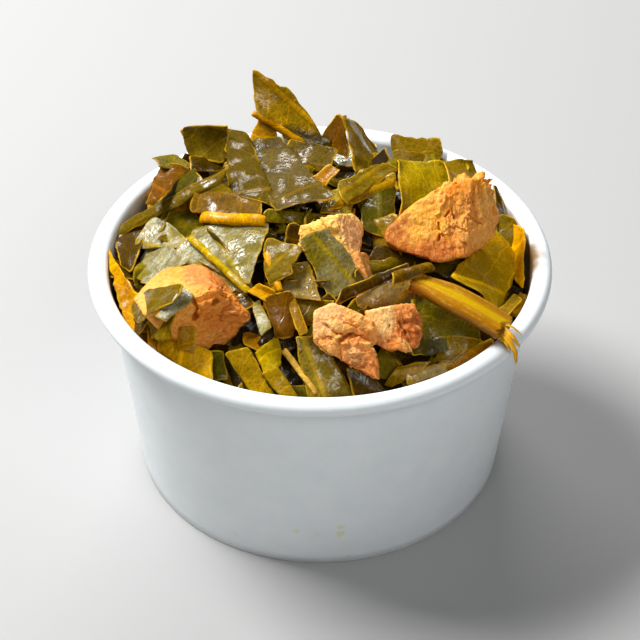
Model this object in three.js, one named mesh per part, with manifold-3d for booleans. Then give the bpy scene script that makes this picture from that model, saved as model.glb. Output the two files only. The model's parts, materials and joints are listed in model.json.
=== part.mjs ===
// Braised collard greens with chunks of ham in a white paper cup.
// Millimetres, +Z up. The origin is on the cup's axis, on the surface it stands on.

import * as THREE from 'three';
import { mergeVertices } from 'three/addons/utils/BufferGeometryUtils.js';
import Module from 'manifold-3d';

const wasm = await Module();
wasm.setup();

// ---- driving dimensions ----

const cup = {
  height: 51.7,        // to the top of the rolled rim
  rimRadius: 48.5,     // outside of the roll
  rollHalfWide: 2.1,   // the roll's section is an upright oval
  rollHalfTall: 1.85,
  wall: 0.6,           // paper thickness
  baseRadius: 39.3,    // outside of the foot
  footWidth: 1.3,      // folded layers that stand on the table
  recess: 3.5,         // gap under the bottom disc
  disc: 0.7,           // bottom disc thickness
  segments: 48,
};
const gap = 0.3;       // clearance between neighbouring pieces

const heap = {
  centre: [-1, 4],     // the dome's top lies a little behind the axis
  radius: 44,
  edge: 45,            // height of the greens at the wall
  dome: 14.5,          // how far the dome rises over the edge
  depth: 1.8,          // the leaves stand this far above the core
  bump: 1.3,           // unevenness of the core
  mounds: [[-16, -10, 15, 2], [8, -18, 10, 2.2]],   // x, y, radius and height of humps in the core
  rings: 7,
  sides: 40,
};
const leafThick = 0.8;
const leafStep = { along: 6.6, across: 4.1 };   // size of a leaf's flat facets
const profileSteps = 16;    // steps along a leaf's bent section
const foldSoftness = 0.06;  // length of a fold, as a share of the leaf
const fillerCount = 12;
const smoothing = 0.06;     // nearly flat facets of the joined heap within this are merged

// ---- small helpers ----

const rad = THREE.MathUtils.degToRad;
const lerp = THREE.MathUtils.lerp;

// A repeatable number from 0 to 1 for each index
function chance(index) {
  const s = Math.sin(index * 12.9898) * 43758.5453;
  return s - Math.floor(s);
}

// Soft step: -0.5 well before zero, +0.5 well after it
const softStep = (x) => 0.5 * Math.tanh(x);

function bodyOf(geometry) {
  const plain = geometry.clone();
  plain.deleteAttribute('normal');
  plain.deleteAttribute('uv');
  const merged = mergeVertices(plain, 1e-3);
  return new wasm.Manifold(new wasm.Mesh({
    numProp: 3,
    vertProperties: new Float32Array(merged.attributes.position.array),
    triVerts: new Uint32Array(merged.index.array),
  }));
}

function geometryOf(body) {
  const mesh = body.getMesh();
  const geometry = new THREE.BufferGeometry();
  geometry.setAttribute('position', new THREE.BufferAttribute(mesh.vertProperties, 3));
  geometry.setIndex(new THREE.BufferAttribute(mesh.triVerts, 1));
  geometry.computeVertexNormals();
  return geometry;
}

// The one connected piece that matters, without loose scraps or sealed pockets
const largest = (body) => body.decompose().reduce((a, b) => (b.volume() > a.volume() ? b : a));

// Profile of [radius, height] points, both ends on the axis, turned round +Z
function latheZ(profile) {
  const points = profile.map(([r, z]) => new THREE.Vector2(r, z));
  return new THREE.LatheGeometry(points, cup.segments).rotateX(Math.PI / 2);
}

// Closed body from a front and a back grid of points, both split alike, with a rim between them
function sheetBody(along, across, pointAt) {
  const positions = [];
  const index = [];
  const row = across + 1;
  const back = (along + 1) * row;
  for (const side of [1, -1]) {
    for (let i = 0; i <= along; i++) {
      for (let j = 0; j <= across; j++) {
        positions.push(...pointAt((2 * i) / along - 1, (2 * j) / across - 1, side));
      }
    }
  }
  for (let i = 0; i < along; i++) {
    for (let j = 0; j < across; j++) {
      const a = i * row + j;
      const b = a + row;
      index.push(a, b, b + 1, a, b + 1, a + 1);
      index.push(back + a, back + b + 1, back + b, back + a, back + a + 1, back + b + 1);
    }
  }
  const rim = [];
  for (let j = 0; j < across; j++) rim.push(j);
  for (let i = 0; i < along; i++) rim.push(i * row + across);
  for (let j = across; j > 0; j--) rim.push(along * row + j);
  for (let i = along; i > 0; i--) rim.push(i * row);
  rim.forEach((a, k) => {
    const b = rim[(k + 1) % rim.length];
    index.push(a, b, back + b, a, back + b, back + a);
  });
  const geometry = new THREE.BufferGeometry();
  geometry.setAttribute('position', new THREE.Float32BufferAttribute(positions, 3));
  geometry.setIndex(index);
  return geometry;
}

// ---- the cup ----

const rollCentre = [cup.rimRadius - cup.rollHalfWide, cup.height - cup.rollHalfTall];
const innerTop = rollCentre[0] - cup.rollHalfWide;
const innerBase = cup.baseRadius - cup.wall;
const floorTop = cup.recess + cup.disc;

// Inside radius of the wall at a height
const innerRadius = (z) => lerp(innerBase, innerTop, z / rollCentre[1]);

function rollArc(fromDeg, toDeg, steps) {
  const points = [];
  for (let k = 0; k <= steps; k++) {
    const a = rad(lerp(fromDeg, toDeg, k / steps));
    points.push([
      rollCentre[0] + cup.rollHalfWide * Math.cos(a),
      rollCentre[1] + cup.rollHalfTall * Math.sin(a),
    ]);
  }
  return points;
}

function cupGeometry() {
  const outerTop = innerTop + cup.wall;
  const underRoll = 180 + THREE.MathUtils.radToDeg(
    Math.acos((rollCentre[0] - outerTop) / cup.rollHalfWide));
  const footInner = cup.baseRadius - cup.footWidth;
  return latheZ([
    [0, cup.recess],
    [footInner, cup.recess],
    [footInner, 0],
    [cup.baseRadius, 0],
    ...rollArc(underRoll, 360, 4),
    ...rollArc(390, 540, 5),
    [innerRadius(floorTop), floorTop],
    [0, floorTop],
  ]);
}

// ---- leaves ----

// Direction turns evenly by `even` degrees over the span and by `crease` degrees at one place
function profileTo(distance, span, even, crease, creaseAt) {
  const softness = foldSoftness * span;
  const turnAt = (s) => rad(even) * (s / span)
    + rad(crease) * (softStep((s - creaseAt) / softness) - softStep(-creaseAt / softness));
  let out = 0;
  let up = 0;
  for (let k = 0; k < profileSteps; k++) {
    const angle = turnAt(((k + 0.5) / profileSteps) * distance);
    out += (Math.cos(angle) * distance) / profileSteps;
    up += (Math.sin(angle) * distance) / profileSteps;
  }
  return { out, up, angle: turnAt(distance) };
}

// Gentle waves over a leaf, in millimetres
function ripple(x, y, seed, height) {
  const p = (k) => 2 * Math.PI * chance(seed * 7 + k);
  return height * (0.5 * Math.sin(x * 0.55 + y * 0.25 + p(1))
    + 0.3 * Math.sin(x * -0.35 + y * 0.8 + p(2))
    + 0.2 * Math.sin(x * 1.1 - y * 0.7 + p(3)));
}

// A piece of leaf: a four-cornered sheet with its own curl across, bend along and folds
function leafGeometry(leaf) {
  const { at, turn, rise, roll, long, wide, slant = [0, 0], seed } = leaf;
  const { curl = 0, bend = 0, fold = 0, foldAt = 0, tip = 0, tipAt = 0.5, wavy = 0.7 } = leaf;
  const span = (wide[0] + wide[1]) / 2;
  const point = new THREE.Vector3();
  const place = new THREE.Matrix4()
    .makeRotationFromEuler(new THREE.Euler(rad(roll), rad(-rise), rad(turn), 'ZYX'))
    .setPosition(...at);
  const alongCount = Math.max(2, Math.round(long / leafStep.along));
  const acrossCount = Math.max(1, Math.round(span / leafStep.across));
  return sheetBody(alongCount, acrossCount, (u, v, side) => {
    const end = (u + 1) / 2;
    const s = (u * long + v * lerp(slant[0], slant[1], end)) / 2;
    const t = (v * lerp(wide[0], wide[1], end)) / 2;
    const across = profileTo(t, span, curl, fold, (foldAt * span) / 2);
    const along = profileTo(s, long, bend, tip, (tipAt * long) / 2);
    const half = (side * leafThick) / 2;
    const lift = across.up + ripple(s, t, seed, wavy) + half * Math.cos(across.angle);
    const shift = across.out - half * Math.sin(across.angle);
    point.set(
      along.out - lift * Math.sin(along.angle),
      shift,
      along.up + lift * Math.cos(along.angle),
    ).applyMatrix4(place);
    return point.toArray();
  });
}

// The pieces of leaf that show, back to front. `at` is the middle, `turn` the heading of the
// long side, `rise` its slope, `roll` the tilt across it, `wide` the widths at both ends.
const leaves = {
  // back
  tallBack: { at: [-8.6, 35.5, 66], turn: -4, rise: -25, roll: 55,
    long: 13.4, wide: [8.8, 6.7], slant: [-5.1, -10.1], curl: 15 },
  tallStem: { at: [-9, 30.8, 62.4], turn: -17, rise: -25, roll: 40,
    long: 13, wide: [1.3, 1.8], wavy: 0.2 },
  orangeRag: { at: [-12, 30.8, 61], turn: -21, rise: -10, roll: 50,
    long: 5.2, wide: [6.6, 4.6], slant: [0.3, -0.8], curl: 40 },
  backLongEdge: { at: [-2.9, 29.7, 60.1], turn: -10, rise: -20, roll: 50,
    long: 12, wide: [2.9, 4.5], slant: [-1.2, -1.1], bend: -15 },
  pyramidRight: { at: [9.2, 31, 58.5], turn: 133, rise: 40, roll: 40,
    long: 13.2, wide: [24.8, 5.9], slant: [0.6, 1.3], curl: -25 },
  pyramidLeft: { at: [3.9, 32.4, 60], turn: 67, rise: 60, roll: -35,
    long: 8.1, wide: [13.7, 3.4], slant: [1.3, -0.6] },
  boxLeaf: { at: [-24.5, 28.2, 60.5], turn: -7, rise: 0, roll: 55,
    long: 9.3, wide: [6.3, 9.2], slant: [-1.6, 0.2], curl: 70 },
  boxEdge: { at: [-28.1, 29.4, 59.5], turn: 135, rise: 55, roll: 10,
    long: 7, wide: [2.2, 2.4], slant: [0.4, 0.2], curl: -60 },
  boxLeafFoot: { at: [-24.5, 23.7, 58], turn: 12, rise: -15, roll: 15,
    long: 7.5, wide: [4.5, 3.5], slant: [0.2, 1], curl: -40 },
  bladeLeft: { at: [-16, 18.3, 61.5], turn: 100, rise: 0, roll: -10,
    long: 27, wide: [9.8, 4.8], slant: [9.1, 4.1], curl: -35 },
  bladeRight: { at: [-7.6, 15.4, 62], turn: 108, rise: -5, roll: -5,
    long: 29.7, wide: [13.7, 6.6], slant: [0.8, 2.5], curl: -30 },
  backWallLeaf: { at: [21.6, 36.8, 51.8], turn: 95, rise: 45, roll: -12,
    long: 7.1, wide: [10.6, 11.6], slant: [-0.1, 1.8], curl: 25 },
  bigLightLeaf: { at: [24.1, 20.1, 55.5], turn: 42, rise: -18, roll: 25,
    long: 21.4, wide: [16.9, 5.7], slant: [12, 5.5], curl: -30 },
  bigLightTip: { at: [31.5, 24.9, 53.9], turn: 86, rise: -8, roll: 30,
    long: 14.2, wide: [6.1, 11.1], slant: [-4.4, -9.8], curl: -20 },
  darkMiddleLeaf: { at: [11.9, 6, 59], turn: 90, rise: 10, roll: 10,
    long: 15.1, wide: [6.5, 9], slant: [2.6, -2.1], curl: -45 },
  ribbedUpper: { at: [9.9, 13.7, 61], turn: 52, rise: -10, roll: 10,
    long: 18.4, wide: [6.7, 3.7], slant: [5.4, -1], curl: -20 },
  ribbedLower: { at: [9.4, 9.8, 60.5], turn: 40, rise: -5, roll: 25,
    long: 17.2, wide: [2.2, 3.8], slant: [6, 3.2], curl: -30 },
  sageLeaf: { at: [3.7, 6.5, 60.5], turn: 85, rise: 5, roll: 0,
    long: 8.2, wide: [7.1, 4.4], slant: [0.1, -0.9], curl: -30 },
  goldCurl: { at: [1.2, 13.3, 62], turn: 53, rise: 10, roll: 0,
    long: 6.9, wide: [4.4, 3.1], slant: [0.8, 0.6], curl: 60 },
  // left
  leftProp: { at: [-30, 21, 53], turn: 60, rise: 20, roll: 50,
    long: 16, wide: [8, 8], curl: -20 },
  leftProp2: { at: [-34, 12, 52], turn: 80, rise: 5, roll: -50,
    long: 14, wide: [9, 8], curl: -20 },
  leftTip: { at: [-32.2, 22.4, 59.5], turn: 34, rise: -20, roll: 5,
    long: 7.4, wide: [4.6, 5.8], slant: [0.4, -2.2], curl: -40 },
  leftTipBody: { at: [-33.1, 14.9, 59], turn: 72, rise: 0, roll: 5,
    long: 14.7, wide: [2, 7.3], slant: [-1.9, -1.9], curl: -40 },
  longDiagonal: { at: [-32, 11.2, 56.7], turn: 5, rise: 30, roll: 15,
    long: 27.9, wide: [3.2, 3.4], slant: [0, 2.1], curl: -60 },
  longDiagonalBack: { at: [-30.9, 15, 57.5], turn: 17, rise: 35, roll: -5,
    long: 12.4, wide: [3.8, 7.1], slant: [-2, -1.2], curl: -50 },
  longDiagonalLow: { at: [-30.2, 11.9, 55], turn: 5, rise: 25, roll: 30,
    long: 10.8, wide: [1.5, 2.8], slant: [2.1, 3.9], curl: -50 },
  leftWallLeaf: { at: [-40, 4.9, 50], turn: 85, rise: 5, roll: -25,
    long: 13.9, wide: [3.3, 9.8], slant: [3.5, 0.7], curl: 20 },
  silverLeftUpper: { at: [-33.3, 4.2, 53.7], turn: 93, rise: 10, roll: -25,
    long: 7.8, wide: [14.9, 5], slant: [6.8, 5], curl: -25 },
  silverLeftLower: { at: [-34.3, -3.7, 52], turn: 17, rise: 35, roll: -10,
    long: 10.3, wide: [11.7, 17.9], slant: [-4.5, -5.8], curl: -20 },
  leftWedge: { at: [-40.6, -9.4, 50], turn: 111, rise: 4, roll: -40,
    long: 24.3, wide: [4.6, 0.9], slant: [6.1, 1.1], curl: 20 },
  leftWedgeEnd: { at: [-34, -23, 47], turn: -55, rise: -15, roll: 55,
    long: 11, wide: [5, 2], slant: [5, 2], curl: 10 },
  // middle
  brownCrumple: { at: [-19.3, 5.5, 60.5], turn: -24, rise: 10, roll: 20,
    long: 16.4, wide: [6.7, 5.7], slant: [-1.4, -3.1], curl: -60 },
  goldBar: { at: [-18, 1.2, 60], turn: -22, rise: 12, roll: 25,
    long: 15, wide: [2.8, 2.4], curl: -70, wavy: 0.3 },
  backGreenSliver: { at: [-5, 1, 60.5], turn: 0, rise: -5, roll: 40,
    long: 14, wide: [3, 2], slant: [2, 0], curl: -20 },
  silverMiddle: { at: [-19, -6.2, 58], turn: -30, rise: 15, roll: 15,
    long: 16.5, wide: [9.7, 18.3], slant: [-7.8, -5.1], curl: -25 },
  ribLeft: { at: [-21, -10.8, 57.9], turn: -55, rise: 0, roll: 30,
    long: 22, wide: [1.7, 1.5], bend: -15, wavy: 0.3 },
  silverUnder: { at: [-21.8, -9.9, 55.5], turn: -47, rise: 0, roll: 30,
    long: 21.2, wide: [5.1, 4], slant: [-1, 0.4], curl: -20 },
  goldMiddle: { at: [-7.9, -14.2, 61], turn: -24, rise: 15, roll: 15,
    long: 7.3, wide: [13.2, 7.6], slant: [-5.7, -0.1], curl: -30 },
  goldStem: { at: [-9.5, -16, 59.6], turn: -73, rise: -10, roll: 20,
    long: 11, wide: [1.4, 1.4], curl: -80, wavy: 0.3 },
  goldLoop: { at: [-11, -20.5, 57.8], turn: -35, rise: -5, roll: 55,
    long: 5, wide: [3, 3], slant: [2, 0], curl: 100 },
  goldStrand: { at: [-7.7, -25.5, 56], turn: 103, rise: 30, roll: -10,
    long: 9.7, wide: [3.8, 7], slant: [0.5, -0.8], curl: -60 },
  greenMiddle: { at: [-4.2, -17.3, 58.2], turn: 93, rise: 15, roll: -10,
    long: 9.2, wide: [8.6, 3.9], slant: [2.4, -1], curl: -20 },
  hamCover: { at: [2.3, -13.2, 60.2], turn: -49, rise: -32, roll: 10,
    long: 14.3, wide: [6.5, 10.9], slant: [0.9, 0.1], curl: -30 },
  edgeMiddle: { at: [10.7, -18.2, 58.6], turn: 29, rise: 6, roll: 45,
    long: 16.8, wide: [2.9, 1.8], slant: [3.4, 0.7], curl: -60 },
  crumpleMiddle: { at: [13.2, -19.6, 56.5], turn: 20, rise: 5, roll: 45,
    long: 12.2, wide: [2.1, 8.3], slant: [-0.3, 1.5], curl: -70 },
  smallMiddle: { at: [-1.6, -23.3, 55], turn: 1, rise: 0, roll: 30,
    long: 7.2, wide: [6.4, 5.1], slant: [-0.5, 2.3], curl: -20 },
  underHam: { at: [14.8, -8.2, 56], turn: 11, rise: -10, roll: 25,
    long: 10.1, wide: [8.6, 4.1], slant: [4.3, 1.5], curl: -20 },
  // around the ham on the left
  hamProp: { at: [-36, -21, 51], turn: 0, rise: 60, roll: 10,
    long: 10, wide: [7, 5], curl: -20 },
  wedgeProp: { at: [-37.5, -11, 47], turn: 100, rise: 0, roll: 20,
    long: 14, wide: [7, 6], curl: -20 },
  hamFlapLeft: { at: [-33.2, -23.8, 57], turn: -22, rise: 40, roll: 28,
    long: 13, wide: [7, 3.5], slant: [-3, 0], curl: -30, bend: -20 },
  hamSilver: { at: [-27.5, -25.8, 59.4], turn: 50, rise: 22, roll: 10,
    long: 5.5, wide: [3.5, 3], slant: [-1, -1], curl: -50 },
  hamShade: { at: [-31.7, -27, 52.8], turn: -12, rise: 30, roll: 40,
    long: 5.5, wide: [7, 6], slant: [-1, 1], curl: -30 },
  hamRing: { at: [-34, -24.5, 50.3], turn: -80, rise: -30, roll: 10,
    long: 8, wide: [1.5, 1.8], bend: -30, wavy: 0.2 },
  goldFront: { at: [-27.7, -27.9, 48.2], turn: -40, rise: 2, roll: 55,
    long: 14.2, wide: [2.4, 4.5], slant: [-0.1, -0.4], curl: -30 },
  hamScrap: { at: [-26.6, -28.2, 52.2], turn: 88, rise: 60, roll: 0,
    long: 5, wide: [4, 3.2], curl: -20, wavy: 0.2 },
  // right
  rightProp: { at: [36, 14, 47], turn: 100, rise: 20, roll: -20,
    long: 15, wide: [8, 8], curl: -30 },
  rightBig: { at: [35.8, -4, 51], turn: 70, rise: -10, roll: 35,
    long: 23.4, wide: [13.3, 8.8], slant: [-2.9, 2.1], curl: -25 },
  rightWall: { at: [41.6, 5, 48.5], turn: 85, rise: 15, roll: -60,
    long: 14.6, wide: [6.5, 8], slant: [10.7, 7.1], curl: 20 },
  rightSpike: { at: [38.5, 17.2, 50.5], turn: 97, rise: 20, roll: 40,
    long: 12.9, wide: [4.4, 1.2], slant: [-1.3, -0.1] },
  rightCurl: { at: [41.6, -11.2, 46.4], turn: 63, rise: 35, roll: -35,
    long: 5.5, wide: [5, 4], slant: [2, 0.7], curl: 60 },
  underStalk: { at: [25.3, -21.8, 51], turn: 3, rise: -15, roll: 35,
    long: 14, wide: [14.4, 7.9], slant: [-2.1, -2.3], curl: -35 },
  // front
  frontRightOlive: { at: [27, -26.2, 47.5], turn: 35, rise: 30, roll: 35,
    long: 7.3, wide: [3.5, 6.3], slant: [-2.7, -4.6], curl: -40 },
  frontRightBrown: { at: [29.5, -26.7, 46], turn: 27, rise: 10, roll: 50,
    long: 13.2, wide: [3.3, 2.4], slant: [1.3, 0.5], curl: -40 },
  frontSheen: { at: [21.3, -32.7, 47], turn: 24, rise: -5, roll: 45,
    long: 9.1, wide: [3.3, 2.2], slant: [0.9, 0.9], curl: -50 },
  frontRightEdge: { at: [17.1, -33.6, 47.5], turn: 6, rise: 20, roll: 60,
    long: 8, wide: [4.4, 1.5], slant: [5.9, 3.6], curl: -40 },
  frontLeaf: { at: [0, -34.6, 50], turn: -61, rise: -45, roll: 20,
    long: 13.4, wide: [5.5, 9.2], slant: [2.2, 2.4], curl: -35 },
  paleStrand: { at: [-4, -34.8, 49.3], turn: -47, rise: -30, roll: 20,
    long: 11, wide: [1.4, 1.1], bend: -20, wavy: 0.2 },
  frontStrip: { at: [-14.1, -34.3, 48.5], turn: -52, rise: -35, roll: 35,
    long: 10.9, wide: [4.8, 4.1], slant: [1.7, 3], curl: -50 },
  frontCurl: { at: [-9.9, -31.1, 49.5], turn: -66, rise: -40, roll: 25,
    long: 6, wide: [5.8, 4.5], slant: [-1.2, -2.6], curl: -80 },
  frontDark: { at: [9, -37.1, 48], turn: -48, rise: -50, roll: 20,
    long: 5.4, wide: [4.2, 6.5], slant: [3.8, 1.9], curl: -30 },
  frontLeftDark: { at: [-20.8, -31.7, 48], turn: -70, rise: -40, roll: 25,
    long: 5.9, wide: [5.1, 3.3], slant: [0.8, 0.6], curl: -30 },
};

// ---- the heap's core ----

// Height of the leaves' surface: a dome over the cup's mouth
function heapTop(x, y) {
  const r = Math.min(1, Math.hypot(x - heap.centre[0], y - heap.centre[1]) / heap.radius);
  return heap.edge + heap.dome * (1 - r * r) ** 0.85;
}

function coreTop(x, y) {
  const bumps = Math.sin(0.42 * x + 1.3) * Math.cos(0.37 * y) + 0.6 * Math.sin(0.7 * x + 0.55 * y);
  let top = heapTop(x, y) - heap.depth + heap.bump * bumps;
  for (const [cx, cy, radius, height] of heap.mounds) {
    top += height * Math.exp(-((x - cx) ** 2 + (y - cy) ** 2) / radius ** 2);
  }
  return top;
}

// Rings of points on the dome, closed below by the wall's cone down to the cup's floor
function coreGeometry() {
  const n = heap.sides;
  const bottom = floorTop + gap;
  const positions = [];
  const index = [];
  const edge = innerRadius(heap.edge - heap.depth - heap.bump) - gap;
  const addRing = (radius, heightAt) => {
    for (let j = 0; j < n; j++) {
      const a = (2 * Math.PI * j) / n;
      const [x, y] = [radius * Math.sin(a), -radius * Math.cos(a)];
      positions.push(x, y, heightAt(x, y));
    }
  };
  positions.push(0, 0, coreTop(0, 0));
  for (let k = 1; k <= heap.rings; k++) addRing((edge * k) / heap.rings, coreTop);
  addRing(innerRadius(bottom) - gap, () => bottom);
  positions.push(0, 0, bottom);
  const last = positions.length / 3 - 1;
  for (let j = 0; j < n; j++) {
    const next = (j + 1) % n;
    index.push(0, 1 + j, 1 + next);
    for (let k = 0; k < heap.rings; k++) {
      const a = 1 + k * n;
      index.push(a + j, a + n + j, a + n + next, a + j, a + n + next, a + next);
    }
    index.push(last, last - n + next, last - n + j);
  }
  const geometry = new THREE.BufferGeometry();
  geometry.setAttribute('position', new THREE.Float32BufferAttribute(positions, 3));
  geometry.setIndex(index);
  return geometry;
}

// Leaves of the far side, laid over the dome in two arcs from right to left
function fillerLeaf(i) {
  const pick = (k, low, high) => lerp(low, high, chance(i * 11 + k));
  const a = rad(lerp(-12, 190, (i + 0.5) / fillerCount));
  const r = i % 2 ? pick(9, 36, 39) : pick(9, 24, 31);
  const [x, y] = [r * Math.cos(a), r * Math.sin(a)];
  const slope = (heapTop(x + 1, y) - heapTop(x - 1, y)) / 2;
  return {
    at: [x, y, heapTop(x, y) - 1],
    turn: pick(1, 0, 360),
    rise: pick(2, -22, 22),
    roll: pick(3, -25, 25) + 20 * slope,
    long: pick(4, 12, 17),
    wide: [pick(5, 8, 12), pick(6, 6, 11)],
    curl: pick(7, -60, -10),
    bend: pick(8, -40, 20),
    seed: 200 + i,
  };
}

// Everything that the greens may take up: inside the wall, and any width above the rim
function roomGeometry() {
  const high = 90;
  return latheZ([
    [0, floorTop],
    [innerRadius(floorTop) - gap, floorTop],
    [innerTop - gap, rollCentre[1]],
    [innerTop - gap, cup.height + gap],
    [cup.rimRadius, cup.height + gap],
    [cup.rimRadius, high],
    [0, high],
  ]);
}

// ---- ham ----

// Chunks as blunt many-sided lumps: `faces` lists [heading, slope, distance] of each flat side
const hamScrapFaces = [
  [0, 30, 2.5], [120, 30, 2.5], [-120, 30, 2.5], [60, -40, 3], [180, -30, 3], [-60, -40, 3],
];
const ham = {
  ham_left: {
    at: [-26, -19, 53], seed: 1, grain: [25, 10],
    faces: [[155, 30, 10], [130, 45, 9], [95, 50, 8.5], [40, 40, 8], [20, 45, 7.5],
      [-10, -10, 12.3], [-30, -30, 10.5], [-70, -50, 9], [-120, -45, 7.5], [-150, -30, 8],
      [150, 75, 5.5], [-75, 20, 7], [90, -40, 6]],
  },
  ham_middle: {
    at: [3, -5, 59], seed: 2, grain: [60, 30],
    faces: [[120, 45, 5], [105, 50, 5], [35, 35, 6.5], [-5, -5, 5.5], [-45, -40, 6], [-125, -45, 6],
      [-165, -20, 6.5], [180, 0, 7], [-20, 40, 4.5], [-110, 45, 4.5], [90, -40, 5]],
    lobe: { at: [7.5, -11.5, 56.5], seed: 7, grain: [60, 30], faces: hamScrapFaces },
  },
  ham_right: {
    at: [25, -1, 60], seed: 3, grain: [100, 40],
    faces: [[170, 10, 10.5], [145, 35, 7], [125, 45, 6.5], [65, 50, 10.5], [15, 20, 12],
      [-5, -5, 11.5], [-40, -40, 8.5], [-70, -50, 7.5], [-115, -50, 7.5], [-135, -40, 9.5],
      [-85, 50, 5.5], [-30, 25, 7.5], [90, -40, 6]],
  },
  ham_front_left: {
    at: [4.5, -29.5, 55], seed: 4, grain: [-40, 20],
    faces: [[125, 45, 6], [60, 45, 4.5], [45, 40, 4.7], [10, 10, 6.5], [-40, -40, 5.5], [-120, -45, 5],
      [-135, -40, 5], [180, 0, 5.7], [-90, 50, 4], [-70, 10, 5], [90, -40, 5]],
    lobe: {
      at: [7.5, -34, 52.5], seed: 6, grain: [-40, 20],
      faces: [[120, 45, 3.5], [30, 35, 3], [15, 15, 3], [0, 0, 4], [-125, -45, 2.5], [-140, -40, 2.5],
        [-170, -15, 3], [-90, 40, 2.5], [90, -40, 4]],
    },
  },
  ham_front_right: {
    at: [15, -28.5, 55], seed: 5, grain: [80, 10],
    faces: [[110, 50, 4.6], [95, 50, 4.6], [5, 10, 4.6], [-10, -10, 5], [-80, -50, 4.2], [-135, -40, 4.6],
      [-170, -10, 5], [-60, 50, 3.8], [-110, 30, 4.2], [90, -40, 4.5]],
  },
};
const hamBlunt = 10;      // higher is sharper edges
const hamDetail = { chunk: 3, lobe: 2 };

function hamGeometry(chunk, detail, grow) {
  const direction = (heading, slope) => new THREE.Vector3(
    Math.cos(rad(slope)) * Math.cos(rad(heading)),
    Math.cos(rad(slope)) * Math.sin(rad(heading)),
    Math.sin(rad(slope)));
  const planes = chunk.faces.map(([heading, slope, away]) => [direction(heading, slope), away]);
  const grain = direction(...chunk.grain);
  const geometry = new THREE.IcosahedronGeometry(1, detail);
  const position = geometry.attributes.position;
  const way = new THREE.Vector3();
  for (let k = 0; k < position.count; k++) {
    way.fromBufferAttribute(position, k).normalize();
    let sum = 0;
    for (const [normal, away] of planes) {
      sum += Math.max(0, way.dot(normal) / away) ** hamBlunt;
    }
    const reach = sum ** (-1 / hamBlunt);
    const layer = way.dot(grain) * reach;
    const relief = 0.35 * Math.sin(2.1 * layer + chunk.seed)
      + 0.3 * Math.sin(0.9 * way.x * reach + 1.3 * way.y * reach + 2 * chunk.seed);
    way.multiplyScalar(reach + relief + grow);
    position.setXYZ(k, way.x + chunk.at[0], way.y + chunk.at[1], way.z + chunk.at[2]);
  }
  return geometry;
}

// ---- the split stalk that lies over the right of the rim ----

const stalk = {
  from: [18.5, -19.5, 60],
  to: [36.5, -27, 54.2],
  width: 7.6,
  depth: 3.8,
  dish: 0.5,         // how deep the trough is, as a share of the depth
  along: 9,
  around: 12,
  arch: 0.7,         // rise of its middle over a straight line
  shredSteps: 5,
  shredSides: 5,
  shreds: [
    { radius: 0.8, points: [[35.5, -27.5, 53.8], [37.6, -30.4, 53.2], [38.8, -31.9, 51.6], [39, -32.4, 49]] },
    { radius: 0.6, points: [[36, -26.5, 53.9], [38.2, -29.2, 53.6], [39.8, -30.4, 51.8]] },
  ],
};

// Tube through rings of points with a pointed cap at both ends
function tubeBody(rings) {
  const n = rings[0].length;
  const positions = rings.flat(2);
  const middle = (ring) => [0, 1, 2].map((c) => ring.reduce((sum, p) => sum + p[c], 0) / n);
  const first = rings.length * n;
  positions.push(...middle(rings[0]), ...middle(rings[rings.length - 1]));
  const index = [];
  for (let j = 0; j < n; j++) {
    const next = (j + 1) % n;
    index.push(first, next, j);
    for (let k = 0; k < rings.length - 1; k++) {
      const a = k * n;
      index.push(a + j, a + next, a + n + next, a + j, a + n + next, a + n + j);
    }
    const a = (rings.length - 1) * n;
    index.push(first + 1, a + j, a + next);
  }
  const geometry = new THREE.BufferGeometry();
  geometry.setAttribute('position', new THREE.Float32BufferAttribute(positions, 3));
  geometry.setIndex(index);
  return geometry;
}

// A thin shred of stalk along a smooth path, tapering to its end
function shredGeometry(points, radius, grow) {
  const path = new THREE.CatmullRomCurve3(points.map((p) => new THREE.Vector3(...p)));
  const frames = path.computeFrenetFrames(stalk.shredSteps);
  const rings = [];
  for (let k = 0; k <= stalk.shredSteps; k++) {
    const f = k / stalk.shredSteps;
    const size = radius * (1 - 0.6 * f) + grow;
    const ring = [];
    for (let j = 0; j < stalk.shredSides; j++) {
      const a = (2 * Math.PI * j) / stalk.shredSides;
      ring.push(path.getPoint(f).addScaledVector(frames.normals[k], size * Math.cos(a))
        .addScaledVector(frames.binormals[k], size * Math.sin(a)).toArray());
    }
    rings.push(ring);
  }
  return tubeBody(rings);
}

// A trough: round below, dished above, arched along its length and thinner where it starts
function stalkGeometry(grow) {
  const from = new THREE.Vector3(...stalk.from);
  const to = new THREE.Vector3(...stalk.to);
  const way = to.clone().sub(from).normalize();
  const side = new THREE.Vector3(0, 0, 1).cross(way).normalize();
  const top = way.clone().cross(side);
  const rings = [];
  for (let k = 0; k <= stalk.along; k++) {
    const f = k / stalk.along;
    const taper = lerp(0.62, 1, THREE.MathUtils.smoothstep(f, 0, 0.45));
    const centre = from.clone().lerp(to, f).addScaledVector(way, (2 * f - 1) * grow)
      .addScaledVector(top, stalk.arch * Math.sin(Math.PI * f));
    const ring = [];
    for (let j = 0; j < stalk.around; j++) {
      const a = (2 * Math.PI * j) / stalk.around;
      const sideways = Math.cos(a) * ((stalk.width * taper) / 2 + grow);
      const hollow = Math.sin(a) > 0 ? stalk.dish * Math.sin(a) : 0;
      const upward = Math.sin(a) * (stalk.depth / 2) * (1 - hollow) + Math.sign(Math.sin(a)) * grow;
      ring.push(centre.clone().addScaledVector(side, sideways).addScaledVector(top, upward).toArray());
    }
    rings.push(ring);
  }
  return tubeBody(rings);
}

// ---- assembly ----

function materialOf(color, roughness) {
  return new THREE.MeshStandardMaterial({ color, roughness, metalness: 0, flatShading: true });
}
const paper = materialOf(0xeef0ee, 0.5);
const cooked = materialOf(0x7a6420, 0.3);
const meat = materialOf(0xd0924f, 0.5);
const stem = materialOf(0xbb8912, 0.35);

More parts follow.
